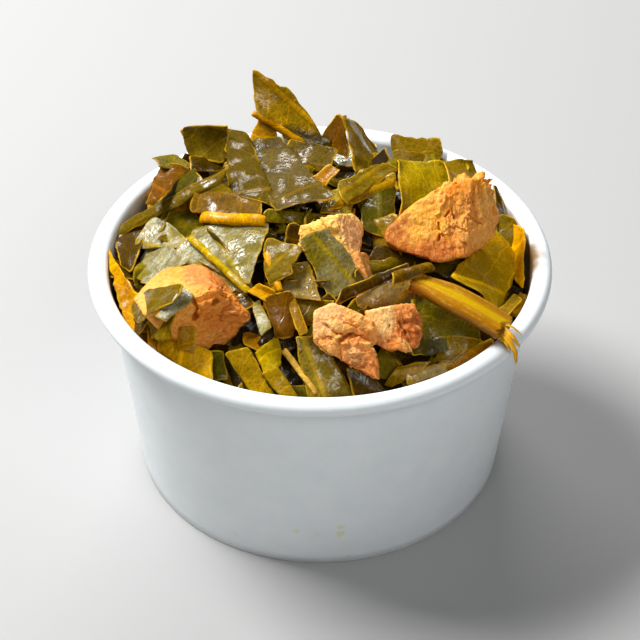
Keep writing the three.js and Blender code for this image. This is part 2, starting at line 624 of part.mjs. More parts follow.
const group = new THREE.Group();
function add(name, geometry, material) {
  const mesh = new THREE.Mesh(geometry, material);
  mesh.name = name;
  group.add(mesh);
}

// A chunk with its lobe, swollen by `grow` on every side
function hamBody(chunk, grow) {
  const body = bodyOf(hamGeometry(chunk, hamDetail.chunk, grow));
  return chunk.lobe ? body.add(bodyOf(hamGeometry(chunk.lobe, hamDetail.lobe, grow))) : body;
}

// The stalk with its shredded end, swollen by `grow` on every side
function stalkBody(grow) {
  const shreds = stalk.shreds.map(({ points, radius }) => bodyOf(shredGeometry(points, radius, grow)));
  return wasm.Manifold.union([bodyOf(stalkGeometry(grow)), ...shreds]);
}

const sheets = Object.values(leaves).map((leaf, k) => bodyOf(leafGeometry({ ...leaf, seed: k + 1 })));
for (let i = 0; i < fillerCount; i++) sheets.push(bodyOf(leafGeometry(fillerLeaf(i))));
let greens = wasm.Manifold.union([bodyOf(coreGeometry()), ...sheets]).intersect(bodyOf(roomGeometry()));
for (const chunk of Object.values(ham)) greens = greens.subtract(hamBody(chunk, gap));
greens = greens.subtract(stalkBody(gap));

add('cup', cupGeometry(), paper);
const joined = bodyOf(geometryOf(largest(greens).simplify(smoothing)));
add('greens', geometryOf(largest(joined)), cooked);
let earlier = null;
for (const [name, chunk] of Object.entries(ham)) {
  const whole = hamBody(chunk, 0);
  add(name, geometryOf(largest(earlier ? whole.subtract(earlier) : whole)), meat);
  const swollen = hamBody(chunk, gap);
  earlier = earlier ? earlier.add(swollen) : swollen;
}
add('leaf_stalk', geometryOf(largest(stalkBody(0).subtract(earlier))), stem);

export default group;
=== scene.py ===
# Braised collard greens with ham in a white paper cup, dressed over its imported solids.

import bmesh
import bpy
import json
import math
import numpy as np
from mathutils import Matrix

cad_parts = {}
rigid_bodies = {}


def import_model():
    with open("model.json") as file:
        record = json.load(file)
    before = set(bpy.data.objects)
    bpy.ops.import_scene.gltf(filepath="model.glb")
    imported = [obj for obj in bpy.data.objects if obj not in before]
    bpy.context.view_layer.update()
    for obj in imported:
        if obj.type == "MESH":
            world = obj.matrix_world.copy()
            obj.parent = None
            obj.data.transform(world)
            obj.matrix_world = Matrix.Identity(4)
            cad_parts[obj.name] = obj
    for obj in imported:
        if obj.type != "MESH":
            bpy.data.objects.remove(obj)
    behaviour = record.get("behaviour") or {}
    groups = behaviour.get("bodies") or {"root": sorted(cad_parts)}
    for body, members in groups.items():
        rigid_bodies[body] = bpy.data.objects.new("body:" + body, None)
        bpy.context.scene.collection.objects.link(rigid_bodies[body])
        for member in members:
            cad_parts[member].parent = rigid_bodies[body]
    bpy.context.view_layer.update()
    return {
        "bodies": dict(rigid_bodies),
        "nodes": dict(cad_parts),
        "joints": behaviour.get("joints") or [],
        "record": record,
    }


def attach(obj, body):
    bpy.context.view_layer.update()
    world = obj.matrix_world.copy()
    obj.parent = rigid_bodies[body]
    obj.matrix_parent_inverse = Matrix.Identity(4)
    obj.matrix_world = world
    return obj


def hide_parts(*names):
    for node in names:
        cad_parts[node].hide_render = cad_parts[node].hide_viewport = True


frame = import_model()
mm = 0.001

# Repeatable number from 0 to 1 for each index: the fraction of a large sine
def chance(index):
    value = np.sin(np.asarray(index, float) * 12.9898) * 43758.5453
    return value - np.floor(value)


# Straight blend from a to b as t goes from 0 to 1
def lerp(a, b, t):
    return a + (b - a) * t


# Smooth blend: 0 below low, 1 above high, cubic in between
def smooth(low, high, value):
    t = np.clip((value - low) / (high - low), 0, 1)
    return t * t * (3 - 2 * t)


# Value noise from 0 to 1: random numbers at whole-number corners, joined by cubic blends
def noiseAt(points, seed=0.0):
    cell = np.floor(points)
    part = points - cell
    part = part * part * (3 - 2 * part)
    total = 0
    for corner in np.ndindex(2, 2, 2):
        at = cell + corner
        value = np.sin(at @ np.array([127.1, 311.7, 74.7]) + seed * 17.3) * 43758.5453
        weight = np.prod(np.where(np.array(corner) == 1, part, 1 - part), axis=-1)
        total = total + weight * (value - np.floor(value))
    return total


# Three layers of noise, each half as large and twice as fine
def layeredNoise(points, seed=0.0):
    return (noiseAt(points, seed) * 4 + noiseAt(points * 2.1, seed + 3) * 2 + noiseAt(points * 4.3, seed + 7)) / 7


# Directions drawn out to length 1
def unit(ways):
    return ways / np.linalg.norm(ways, axis=-1, keepdims=True)


# Display colour (0 to 255) as the linear colour that shaders use
def linear(colour):
    c = np.asarray(colour, float) / 255
    return np.where(c <= 0.04045, c / 12.92, ((c + 0.055) / 1.055) ** 2.4)


# Four-cornered faces of a grid whose rows and columns run on; wrap joins the last column to the first
def gridFaces(rows, columns, wrap=False):
    i, j = np.meshgrid(np.arange(rows - 1), np.arange(columns if wrap else columns - 1), indexing="ij")
    a = i * columns + j
    b = i * columns + (j + 1) % columns
    return np.stack([a, a + columns, b + columns, b], -1).reshape(-1, 4)


# A mesh object from points in millimetres and faces, smooth, with values kept on its points
def addPiece(name, points, faces, material, replaced, values=None):
    mesh = bpy.data.meshes.new(name)
    mesh.vertices.add(len(points))
    mesh.vertices.foreach_set("co", (points * mm).astype(np.float32).ravel())
    mesh.loops.add(faces.size)
    mesh.loops.foreach_set("vertex_index", faces.astype(np.int32).ravel())
    mesh.polygons.add(len(faces))
    mesh.polygons.foreach_set("loop_start", np.arange(0, faces.size, faces.shape[1], dtype=np.int32))
    mesh.polygons.foreach_set("use_smooth", np.ones(len(faces), bool))
    for key, value in (values or {}).items():
        kind, field = ("FLOAT", "value") if value.ndim == 1 else ("FLOAT_VECTOR", "vector")
        if key.endswith("Tone"):
            kind, field = "FLOAT_COLOR", "color"
            value = np.concatenate([value, np.ones((len(value), 1))], 1)
        mesh.attributes.new(key, kind, "POINT").data.foreach_set(field, value.astype(np.float32).ravel())
    mesh.update(calc_edges=True)
    mesh.materials.append(material)
    piece = bpy.data.objects.new(name, mesh)
    bpy.context.scene.collection.objects.link(piece)
    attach(piece, "root")
    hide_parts(replaced)
    return piece


camera = {"focal": 127.46, "distance": 0.485, "elevation": 39.2, "aimHeight": 0.0339}
floor = {"halfSize": 3.0, "colour": (168, 168, 167)}
lights = {
    "leftSoftbox": dict(at=(-0.42, 0.2, 0.68), aim=(0, 0, 0.05), size=(0.34, 0.28), power=11.0),
    "backLight": dict(at=(-0.1, 0.66, 0.54), aim=(0, 0, 0.05), size=(0.46, 0.14), power=3.4),
    "frontFill": dict(at=(0.3, -0.66, 0.72), aim=(0, 0, 0.03), size=(0.5, 0.4), power=3.4),
}
sky = {"colour": (225, 228, 232), "strength": 0.11}


# Turned so that its -Z looks from at to aim: a tilt from straight down, then a heading
def pointAt(thing, at, aim):
    way = np.array(aim) - np.array(at)
    flat = math.hypot(way[0], way[1])
    thing.location = at
    thing.rotation_euler = (math.atan2(flat, -way[2]), 0, math.atan2(-way[0], way[1]))


# Camera on its line of sight, three soft lights, a dim sky and a plain floor
def makeStudio():
    lens = bpy.data.cameras.new("camera")
    lens.sensor_width = 36
    lens.lens = camera["focal"]
    lens.clip_start = 0.01
    lens.clip_end = 20
    eye = bpy.data.objects.new("camera", lens)
    bpy.context.scene.collection.objects.link(eye)
    tilt = math.radians(camera["elevation"])
    away = camera["distance"]
    aim = (0, 0, camera["aimHeight"])
    pointAt(eye, (0, -away * math.cos(tilt), aim[2] + away * math.sin(tilt)), aim)
    bpy.context.scene.camera = eye
    for name, light in lights.items():
        lamp = bpy.data.lights.new(name, "AREA")
        lamp.shape = "RECTANGLE"
        lamp.size, lamp.size_y = light["size"]
        lamp.energy = light["power"]
        holder = bpy.data.objects.new(name, lamp)
        bpy.context.scene.collection.objects.link(holder)
        pointAt(holder, light["at"], light["aim"])
    world = bpy.data.worlds.new("studio")
    bpy.context.scene.world = world
    world.use_nodes = True
    back = world.node_tree.nodes["Background"]
    back.inputs["Color"].default_value = (*linear(sky["colour"]), 1)
    back.inputs["Strength"].default_value = sky["strength"]
    half = floor["halfSize"]
    mesh = bpy.data.meshes.new("floor")
    mesh.from_pydata([(-half, -half, 0), (half, -half, 0), (half, half, 0), (-half, half, 0)], [], [(0, 1, 2, 3)])
    ground = bpy.data.objects.new("floor", mesh)
    bpy.context.scene.collection.objects.link(ground)
    coat = bpy.data.materials.new("floor")
    coat.use_nodes = True
    shader = coat.node_tree.nodes["Principled BSDF"]
    shader.inputs["Base Color"].default_value = (*linear(floor["colour"]), 1)
    shader.inputs["Roughness"].default_value = 0.9
    mesh.materials.append(coat)
    bpy.context.scene.view_settings.view_transform = "Standard"
    print("studio ready")


# A shader socket; each sum or product on it adds a Math node to its tree
class shaderValue:
    def __init__(self, tree, socket):
        self.tree, self.socket = tree, socket

    def math(self, operation, a, b=0.0):
        return node(self.tree, "Math", {0: a, 1: b}, operation=operation)

    def __add__(self, other):
        return self.math("ADD", self, other)

    def __sub__(self, other):
        return self.math("SUBTRACT", self, other)

    def __rsub__(self, other):
        return self.math("SUBTRACT", other, self)

    def __mul__(self, other):
        return self.math("MULTIPLY", self, other)

    def __truediv__(self, other):
        return self.math("DIVIDE", self, other)

    def __abs__(self):
        return self.math("ABSOLUTE", self)

    # Start to end as the value goes from low to high, along a smooth step
    def soft(self, low, high, start=0.0, end=1.0):
        inputs = {"Value": self, "From Min": low, "From Max": high, "To Min": start, "To Max": end}
        return node(self.tree, "MapRange", inputs, "Result", interpolation_type="SMOOTHSTEP")

    def noise(self, scale, detail, roughness):
        inputs = {"Vector": self, "Scale": scale, "Detail": detail, "Roughness": roughness}
        return node(self.tree, "TexNoise", inputs, "Fac")

    def cells(self, scale, feature):
        return node(self.tree, "TexVoronoi", {"Vector": self, "Scale": scale}, "Distance", feature=feature)

    def split(self):
        return [node(self.tree, "SeparateXYZ", {0: self}, axis) for axis in range(3)]

    def bump(self, strength, distance):
        return node(self.tree, "Bump", {"Height": self, "Strength": strength, "Distance": distance})


# Each input of a node: linked where its value comes from another node, or else set
def fill(made, inputs):
    for key, value in inputs.items():
        if isinstance(value, shaderValue):
            value.tree.links.new(value.socket, made.inputs[key])
        else:
            made.inputs[key].default_value = value


# One shader node with its settings and inputs, as the value of one of its outputs
def node(tree, kind, inputs, output=0, **settings):
    made = tree.nodes.new("ShaderNode" + kind)
    for name, value in settings.items():
        setattr(made, name, value)
    fill(made, inputs)
    return shaderValue(tree, made.outputs[output])


# Colour a blended with colour b by a factor; fixed colours are three linear numbers
def mix(factor, a, b, blend="MIX"):
    tree = next(value.tree for value in (factor, a, b) if isinstance(value, shaderValue))
    a, b = [value if isinstance(value, shaderValue) else (*value, 1) for value in (a, b)]
    return node(tree, "Mix", {0: factor, 6: a, 7: b}, 2, data_type="RGBA", blend_type=blend)


# A node group whose inputs are a vector for None, a colour for a tuple or else a number; make turns
# them into the outputs, a colour where it is named Colour or else a number
def newGroup(name, inputs, outputs, make):
    tree = bpy.data.node_groups.new(name, "ShaderNodeTree")
    for key, value in inputs.items():
        kind = "Vector" if value is None else "Color" if isinstance(value, tuple) else "Float"
        socket = tree.interface.new_socket(name=key, in_out="INPUT", socket_type="NodeSocket" + kind)
        if value is not None:
            socket.default_value = value
    for key in outputs:
        kind = "NodeSocketColor" if key == "Colour" else "NodeSocketFloat"
        tree.interface.new_socket(name=key, in_out="OUTPUT", socket_type=kind)
    given, out = tree.nodes.new("NodeGroupInput").outputs, tree.nodes.new("NodeGroupOutput")
    fill(out, dict(zip(outputs, make(*[shaderValue(tree, given[key]) for key in inputs]))))
    return tree


# A group in use: its inputs, and its outputs by name
def placeGroup(group, inputs):
    tree = next(value.tree for value in inputs.values() if isinstance(value, shaderValue))
    made = tree.nodes.new("ShaderNodeGroup")
    made.node_tree = group
    fill(made, inputs)
    return {socket.name: shaderValue(tree, socket) for socket in made.outputs}


# Wet surface: a film that lies smooth in patches and beaded in others, as roughness and height
def wetSurface(place, dry, wet, beads):
    film = place.noise(210, 3, 0.55).soft(0.5, 0.62)
    fine = place.noise(1700, 2, 0.6)
    rough = node(place.tree, "Mix", {0: film, 2: dry, 3: wet}, data_type="FLOAT") + (fine - 0.5) * 0.18
    beading = (fine - place.cells(1500.0, "SMOOTH_F1") * 0.8) * beads
    return rough, place.noise(520, 3, 0.55) * 0.3 + beading, film


# Uneven cooking: the colour turns darker and browner in blotches and yellower in others
def unevenCooking(place, colour, amount):
    broad = place.noise(130, 4, 0.6)
    colour = mix(broad.soft(0.5, 0.72) * amount, colour, (0.42, 0.36, 0.3), "MULTIPLY")
    colour = mix(broad.soft(0.46, 0.26) * amount, colour, (1.0, 0.92, 0.55), "MULTIPLY")
    lifted = mix(1.0, colour, (1.55, 1.45, 1.2), "MULTIPLY")
    colour = mix(place.noise(420, 4, 0.65).soft(0.45, 0.75) * 0.7, colour, lifted)
    dim = mix(1.0, colour, (0.5, 0.44, 0.36), "MULTIPLY")
    return [mix(place.noise(1500, 2, 0.6).soft(0.56, 0.74) * 0.55, colour, dim)]


# Veins from a place on the leaf in millimetres, x along the midrib and y off it: side veins leave
# the midrib at a slant every few millimetres and curve forward, and a fine net lies between them
def veining(spot, spacing):
    x, y, _ = spot.split()
    off = abs(y)
    lag = x - off * 0.75 + spot.noise(0.22, 2, 0.5) * 4.0
    near = abs(spot.math("FRACT", lag / spacing) - 0.5) * spacing
    net = spot.cells(0.85, "DISTANCE_TO_EDGE")
    vein = spot.math("MAXIMUM", off.soft(0.75, 0.3), near.soft(0.34, 0.06) * 0.75)
    return vein, net.soft(0.09, 0.02), net.soft(0.0, 0.4)


wetFilm = newGroup("wetFilm", {"Place": None, "Dry": 0.5, "Wet": 0.2, "Beads": 0.5},
                   ("Roughness", "Height", "Film"), wetSurface)
cookedBlotches = newGroup("cookedBlotches", {"Place": None, "Colour": (0.2, 0.15, 0.05, 1), "Amount": 0.6},
                          ("Colour",), unevenCooking)
leafVeins = newGroup("leafVeins", {"Spot": None, "Spacing": 6.0}, ("Vein", "Net", "Pillow"), veining)


# A new material with its main shader and its Object coordinates
def newMaterial(name):
    material = bpy.data.materials.new(name)
    material.use_nodes = True
    tree = material.node_tree
    return material, tree.nodes["Principled BSDF"], node(tree, "TexCoord", {}, "Object")


# What the mesh keeps on its points, read in the same tree as place
def attribute(place, name, output="Fac"):
    return node(place.tree, "Attribute", {}, output, attribute_name=name)


leafSkin = {
    "blotches": 0.75,
    "veins": 0.8,
    "veinTint": (2.1, 1.9, 1.4),
    # golden colour of the painted highlight along the leaf rims
    "edgeHighlightColour": (196, 152, 30),
    # silver-grey of the painted sheen: colour that stands in for the lamp's reflection on wet leaves
    "paintedSheenColour": (190, 187, 164),
    "dryRoughness": 0.48,
    "wetRoughness": (0.26, 0.2),    # plain leaves, and the ones with a sheen
    "mirror": (0.04, 0.7),          # how strongly the dry and the wet parts mirror
    "through": 0.2,                 # light that passes into the leaf
}


# Cooked leaf: its tone in blotches, a painted silver sheen in patches where the sheen is strong (in part a waxy
# bloom, mostly colour that stands in for reflected light), veins and a painted light edge here and there on the torn
# rims, standing in for light caught on thin edges, under a film of broth
def makeLeafSkin():
    material, shader, place = newMaterial("cookedLeaf")
    sheen = attribute(place, "sheen")
    veins = placeGroup(leafVeins, {"Spot": attribute(place, "leafSpot", "Vector"), "Spacing": 6.0})
    tone = attribute(place, "leafTone", "Color")
    cooked = placeGroup(cookedBlotches, {"Place": place, "Colour": tone, "Amount": leafSkin["blotches"]})["Colour"]
    wet = sheen.soft(0.0, 1.0, *leafSkin["wetRoughness"])
    film = placeGroup(wetFilm, {"Place": place, "Dry": leafSkin["dryRoughness"], "Wet": wet, "Beads": sheen})
    lines = place.math("MAXIMUM", veins["Vein"], veins["Net"] * 0.45)
    # Painted sheen: silver-grey patches on leaves with a strong sheen, standing in for reflected light
    paintedSheen = place.noise(85, 3, 0.6).soft(0.4, 0.56, 0.05, 1.0) * place.noise(1100, 4, 0.7).soft(0.4, 0.58, 0.3, 1.0)
    paintedSheen = paintedSheen * sheen.soft(0.6, 1.0, 0.0, 0.82) * (1.0 - lines * 0.9)
    colour = mix(lines * leafSkin["veins"], cooked, mix(1.0, cooked, leafSkin["veinTint"], "MULTIPLY"))
    colour = mix(paintedSheen, colour, linear(leafSkin["paintedSheenColour"]))
    # Painted highlight: a light golden line along the rims in patches, standing in for light caught on the thin
    # edges and shining through them
    torn = place.noise(150, 3, 0.6).soft(0.4, 0.6) * 0.85
    edge = attribute(place, "rimDistance").soft(0.42, 0.08) * torn
    height = film["Height"] + veins["Pillow"] * (sheen + 0.1) - veins["Vein"] * 0.5
    fill(shader, {
        "Base Color": mix(edge, colour, linear(leafSkin["edgeHighlightColour"])),
        "Roughness": film["Roughness"],
        "Specular IOR Level": film["Film"].soft(0.0, 1.0, *leafSkin["mirror"]) * sheen.soft(0.0, 0.75, 0.35, 1.0),
        "Normal": height.bump(0.35, 0.0003),
        "Subsurface Weight": leafSkin["through"],
        "Subsurface Radius": (1.0, 0.75, 0.15),
        "Subsurface Scale": 0.0008,
    })
    return material


cookedLeaf = makeLeafSkin()

# Colours that the leaves cooked to, on a display from 0 to 255
leafTones = {
    "dark": (62, 44, 2),
    "deepOlive": (76, 60, 2),
    "darkOlive": (92, 74, 2),
    "darkGreen": (66, 60, 4),
    "olive": (114, 90, 4),
    "green": (100, 88, 6),
    "sage": (124, 106, 28),
    "silver": (104, 92, 18),
    "lightOlive": (148, 117, 6),
    "yellowGreen": (150, 126, 4),
    "brightGold": (224, 172, 8),
    "gold": (178, 126, 2),
    "oldGold": (156, 112, 2),
    "amber": (140, 94, 2),
    "orange": (160, 98, 4),
    "bronze": (106, 76, 2),
    "brown": (92, 58, 2),
    "pale": (204, 162, 70),
    # near-black painted shade for the gaps deep between the leaves
    "cavity": (34, 23, 1),
}
sheenOf = {"silver": 1.0, "sage": 0.5, "gold": 0.08, "amber": 0.1, "dark": 0.4, "yellowGreen": 0.2}
leafShape = {
    "thick": 0.5,
    "edgeShare": 0.4,       # thickness left at a torn edge
    "corner": 0.06,
    "ragged": 0.6,
    "crumple": 0.22,
    "rib": 0.22,            # height of the midrib
    "flare": 2.6,           # how far the rims curl up or down
    "spacing": 0.3,
    "steps": 16,
    "foldSoftness": 0.06,
}


# A line whose heading turns evenly over the span and sharply at one crease: steps along it are summed
def profileTo(distance, span, even, crease, creaseAt):
    softness = leafShape["foldSoftness"] * span

    def turnAt(s):
        sharp = 0.5 * np.tanh((s - creaseAt) / softness) - 0.5 * np.tanh(-creaseAt / softness)
        return np.radians(even) * (s / span) + np.radians(crease) * sharp

    out, up = 0, 0
    for k in range(leafShape["steps"]):
        angle = turnAt((k + 0.5) / leafShape["steps"] * distance)
        out = out + np.cos(angle) * distance / leafShape["steps"]
        up = up + np.sin(angle) * distance / leafShape["steps"]
    return out, up, turnAt(distance)


# Long waves: three sines that run in different directions
def ripple(x, y, seed, height):
    phase = [2 * np.pi * chance(seed * 7 + k) for k in (1, 2, 3)]
    return height * (0.5 * np.sin(x * 0.55 + y * 0.25 + phase[0])
                     + 0.3 * np.sin(x * -0.35 + y * 0.8 + phase[1])
                     + 0.2 * np.sin(x * 1.1 - y * 0.7 + phase[2]))


# Turn by roll about the leaf's length, then rise, then heading
def leafTurn(turn, rise, roll):
    t, r, o = np.radians([turn, rise, roll])
    heading = np.array([[np.cos(t), -np.sin(t), 0], [np.sin(t), np.cos(t), 0], [0, 0, 1]])
    slope = np.array([[np.cos(r), 0, -np.sin(r)], [0, 1, 0], [np.sin(r), 0, np.cos(r)]])
    lean = np.array([[1, 0, 0], [0, np.cos(o), -np.sin(o)], [0, np.sin(o), np.cos(o)]])
    return heading @ slope @ lean


# Leaf over u along and v across, both from -1 to 1: a four-cornered patch with rounded corners and
# ragged edges, whose two directions each turn along their length, lifted by waves, crumples and its
# midrib. The front and the back lie half a thickness to either side, and a rim joins them.
def leafSheet(leaf, seed, spacing):
    long, wide = leaf["long"], leaf["wide"]
    slant = leaf.get("slant", (0, 0))
    stem = leaf.get("stem", 0)
    span = (wide[0] + wide[1]) / 2
    p = np.linspace(-1, 1, max(9, int(long / spacing)))[:, None]
    q = np.linspace(-1, 1, max(9, int(max(span, 2.4) / spacing)))[None, :]
    u0 = 0.8 * p + 0.2 * np.sin(p * np.pi / 2) + 0 * q
    v0 = 0.8 * q + 0.2 * np.sin(q * np.pi / 2) + 0 * p
    corner = leafShape["corner"] * (1 if not stem else 0.3)
    u = u0 * (1 - corner * v0 ** 6)
    v = v0 * (1 - corner * u0 ** 6)
    here = lerp(wide[0], wide[1], (u + 1) / 2)
    ragged = leafShape["ragged"] * min(1, span / 5)
    alongEdge = np.stack([u * long * 0.22, np.sign(v) * 5 + 0 * u, seed + 0 * u], -1)
    acrossEdge = np.stack([v * span * 0.22, np.sign(u) * 5 + 9 + 0 * v, seed + 0 * v], -1)
    s = (u * long + v * lerp(slant[0], slant[1], (u + 1) / 2)) / 2
    s = s + np.sign(u) * np.abs(u) ** 5 * 2 * ragged * (layeredNoise(acrossEdge, seed) - 0.5)
    t = v * here / 2 + np.sign(v) * np.abs(v) ** 5 * 2 * ragged * (layeredNoise(alongEdge, seed) - 0.5)
    acrossOut, acrossUp, acrossAngle = profileTo(t, span, leaf.get("curl", 0), leaf.get("fold", 0),
                                                 leaf.get("foldAt", 0) * span / 2)
    alongOut, alongUp, alongAngle = profileTo(s, long, leaf.get("bend", 0), leaf.get("tip", 0),
                                              leaf.get("tipAt", 0.5) * long / 2)
    angle, offset = leaf.get("rib", (360 * chance(seed * 5.7), lerp(-16, 16, chance(seed * 3.3 + 1))))
    c, d = np.cos(np.radians(angle)), np.sin(np.radians(angle))
    spot = np.stack([s * c + t * d, t * c - s * d + offset, 0 * s + seed * 3.1], -1)
    crumple = leafShape["crumple"] * (0 if stem else leaf.get("wavy", 0.25) * 4) * (
        layeredNoise(np.stack([s * 0.3, t * 0.3, seed + 0 * s], -1), seed) - 0.5)
    midrib = leafShape["rib"] * (0 if stem else 1) * np.exp(-(spot[..., 1] / 0.55) ** 2)
    middle = acrossUp + ripple(s, t, seed, leaf.get("wavy", 0.25)) + crumple * 2
    rim = np.minimum((1 - np.abs(u0)) * long / 2, (1 - np.abs(v0)) * here / 2)
    flare = layeredNoise(np.stack([s * 0.16, t * 0.16, seed * 1.7 + 0 * s], -1), seed + 40) - 0.42
    flare = flare * (0 if stem else leafShape["flare"]) * min(1, span / 8, long / 10)
    middle = middle + flare * np.exp(-(rim / 1.1) ** 2)
    if stem:
        half = stem / 2 * np.sqrt(np.clip(1.02 - v0 ** 2, 0, 1)) * np.sqrt(np.clip(1.05 - u0 ** 6, 0, 1))
    else:
        half = leafShape["thick"] / 2 * (leafShape["edgeShare"] + (1 - leafShape["edgeShare"]) * smooth(0, 0.6, rim))
    turned = leafTurn(leaf["turn"], leaf["rise"], leaf["roll"])
    faces, sides = [], []
    for side in (1, -1):
        lift = middle + side * half * np.cos(acrossAngle) + (midrib if side > 0 else -0.4 * midrib)
        shift = acrossOut - side * half * np.sin(acrossAngle)
        local = np.stack([alongOut - lift * np.sin(alongAngle), shift, alongUp + lift * np.cos(alongAngle)], -1)
        sides.append((local @ turned.T + np.array(leaf["at"])).reshape(-1, 3))
    rows, columns = u.shape
    front = gridFaces(rows, columns)
    back = front[:, ::-1] + rows * columns
    edge = np.concatenate([np.arange(columns - 1), np.arange(rows - 1) * columns + columns - 1,
                           np.arange(columns - 1, 0, -1) + (rows - 1) * columns,
                           np.arange(rows - 1, 0, -1) * columns])
    after = np.roll(edge, -1)
    joint = np.stack([edge, after, after + rows * columns, edge + rows * columns], -1)
    tone = linear(leafTones[leaf["tone"]]) * lerp(0.88, 1.15, chance(seed * 2.9))
    under = lerp(tone, linear(leafTones["sage"]), 0.3)
    count = rows * columns
    return {
        "points": np.concatenate(sides),
        "faces": np.concatenate([front, back, joint]),
        "leafTone": np.concatenate([np.tile(tone, (count, 1)), np.tile(under, (count, 1))]),
        "leafSpot": np.tile(spot.reshape(-1, 3), (2, 1)),
        "rimDistance": np.tile(rim.ravel(), 2) if not stem else np.full(2 * count, 4.0),
        "sheen": np.full(2 * count, leaf.get("sheen", sheenOf.get(leaf["tone"], 0.3))),
    }


# Sheets side by side as one piece: their points in a row, each sheet's faces moved on by what came before
def joinSheets(name, sheets):
    starts = np.cumsum([0] + [len(sheet["points"]) for sheet in sheets[:-1]])
    points = keepInside(np.concatenate([sheet["points"] for sheet in sheets]))
    faces = np.concatenate([sheet["faces"] + start for sheet, start in zip(sheets, starts)])
    kept = ("leafTone", "leafSpot", "rimDistance", "sheen")
    values = {key: np.concatenate([sheet[key] for sheet in sheets]) for key in kept}
    addPiece(name, points, faces, cookedLeaf, "greens", values)
    print(name, len(sheets), "leaves,", 2 * len(faces), "triangles")


cup = {
    "height": 51.7,
    "rimRadius": 48.5,
    "rollHalfWide": 2.1,
    "rollHalfTall": 1.85,
    "wall": 0.6,
    "baseRadius": 39.3,
    "footWidth": 1.3,
    "recess": 3.5,
    "disc": 0.7,
    "segments": 192,
    "gap": 0.3,
}
rollRadius = cup["rimRadius"] - cup["rollHalfWide"]
rollHeight = cup["height"] - cup["rollHalfTall"]
innerTop = rollRadius - cup["rollHalfWide"]
innerBase = cup["baseRadius"] - cup["wall"]


# Inside radius of the wall at a height: a straight cone
def innerRadius(z):
    return lerp(innerBase, innerTop, z / rollHeight)


# Points pushed in towards the axis until they clear the wall, below the rim only
def keepInside(points):
    r = np.hypot(points[:, 0], points[:, 1])
    below = 1 - smooth(cup["height"] - 1.0, cup["height"] + 1.5, points[:, 2])
    most = lerp(cup["rimRadius"] - 0.5, innerRadius(np.minimum(points[:, 2], rollHeight)) - cup["gap"], below)
    scale = np.minimum(1, most / np.maximum(r, 1e-6))
    return points * np.stack([scale, scale, np.ones_like(scale)], -1)


# Each leaf: its colour, its middle in mm (3 numbers), in degrees the heading of its long side,
# the rise along it and the tilt across it, its length, its widths at both ends, how its corners slant at
# both ends, its curl across in degrees, and what else differs from a plain leaf
backLeaves = {
    "tallBack": ("lightOlive", -8.6, 35.5, 65.7, -4, -25, 55, 13.4, 8.8, 6.7, -5.1, -10.1, 15,
        dict(rib=(-18, -1.6), wavy=0.15)),
    "tallStem": ("gold", -9, 30.8, 62.4, -17, -25, 40, 13, 1.3, 1.8, 0, 0, 0, dict(wavy=0.2, stem=1.6)),
    "orangeRag": ("oldGold", -12, 30.8, 61, -21, -10, 50, 5.2, 6.6, 4.6, 0.3, -0.8, 40),
    "backLongEdge": ("deepOlive", -2.9, 29.7, 60.1, -10, -20, 50, 12, 2.9, 4.5, -1.2, -1.1, 0, dict(bend=-15)),
    "pyramidRight": ("olive", 9.2, 31, 58.5, 133, 40, 40, 13.2, 24.8, 5.9, 0.6, 1.3, -25, dict(wavy=0.15)),
    "pyramidLeft": ("brown", 3.9, 32.4, 60, 67, 60, -35, 8.1, 13.7, 3.4, 1.3, -0.6, 0, dict(sheen=0.05)),
    "boxLeaf": ("darkOlive", -24.5, 28.2, 60.5, -7, 0, 55, 9.3, 6.3, 9.2, -1.6, 0.2, 70),
    "boxEdge": ("gold", -28.1, 29.4, 59.5, 135, 55, 10, 7, 2.2, 2.4, 0.4, 0.2, -60),
    "boxLeafFoot": ("dark", -24.5, 23.7, 58, 12, -15, 15, 7.5, 4.5, 3.5, 0.2, 1, -40),
    "bladeLeft": ("deepOlive", -16, 18.3, 61.5, 100, 0, -10, 27, 9.8, 4.8, 9.1, 4.1, -35,
        dict(sheen=0.15, wavy=0.08)),
    "bladeRight": ("deepOlive", -7.6, 15.4, 62, 108, -5, -5, 29.7, 13.7, 6.6, 0.8, 2.5, -30,
        dict(sheen=0.66, wavy=0.08)),
    "backWallLeaf": ("olive", 21.6, 36.8, 51.8, 95, 45, -12, 7.1, 10.6, 11.6, -0.1, 1.8, 25),
    "bigLightLeaf": ("yellowGreen", 24.1, 20.1, 55.5, 42, -18, 25, 21.4, 16.9, 5.7, 12, 5.5, -30, dict(rib=(20, 3))),
    "bigLightTip": ("olive", 31.5, 24.9, 53.9, 86, -8, 30, 14.2, 6.1, 11.1, -4.4, -9.8, -20),
    "darkMiddleLeaf": ("darkGreen", 11.9, 6, 59, 90, 10, 10, 15.1, 6.5, 9, 2.6, -2.1, -45, dict(rib=(0, 0.5))),
    "ribbedUpper": ("darkOlive", 9.9, 13.7, 61, 52, -10, 10, 18.4, 6.7, 3.7, 5.4, -1, -20, dict(rib=(3, -0.6))),
    "ribbedLower": ("olive", 9.4, 9.8, 60.5, 40, -5, 25, 17.2, 2.2, 3.8, 6, 3.2, -30, dict(rib=(0, 0))),
    "sageLeaf": ("sage", 3.7, 6.5, 60.5, 85, 5, 0, 8.2, 7.1, 4.4, 0.1, -0.9, -30),
    "goldCurl": ("amber", 1.2, 13.3, 62, 53, 10, 0, 6.9, 4.4, 3.1, 0.8, 0.6, 60),
}
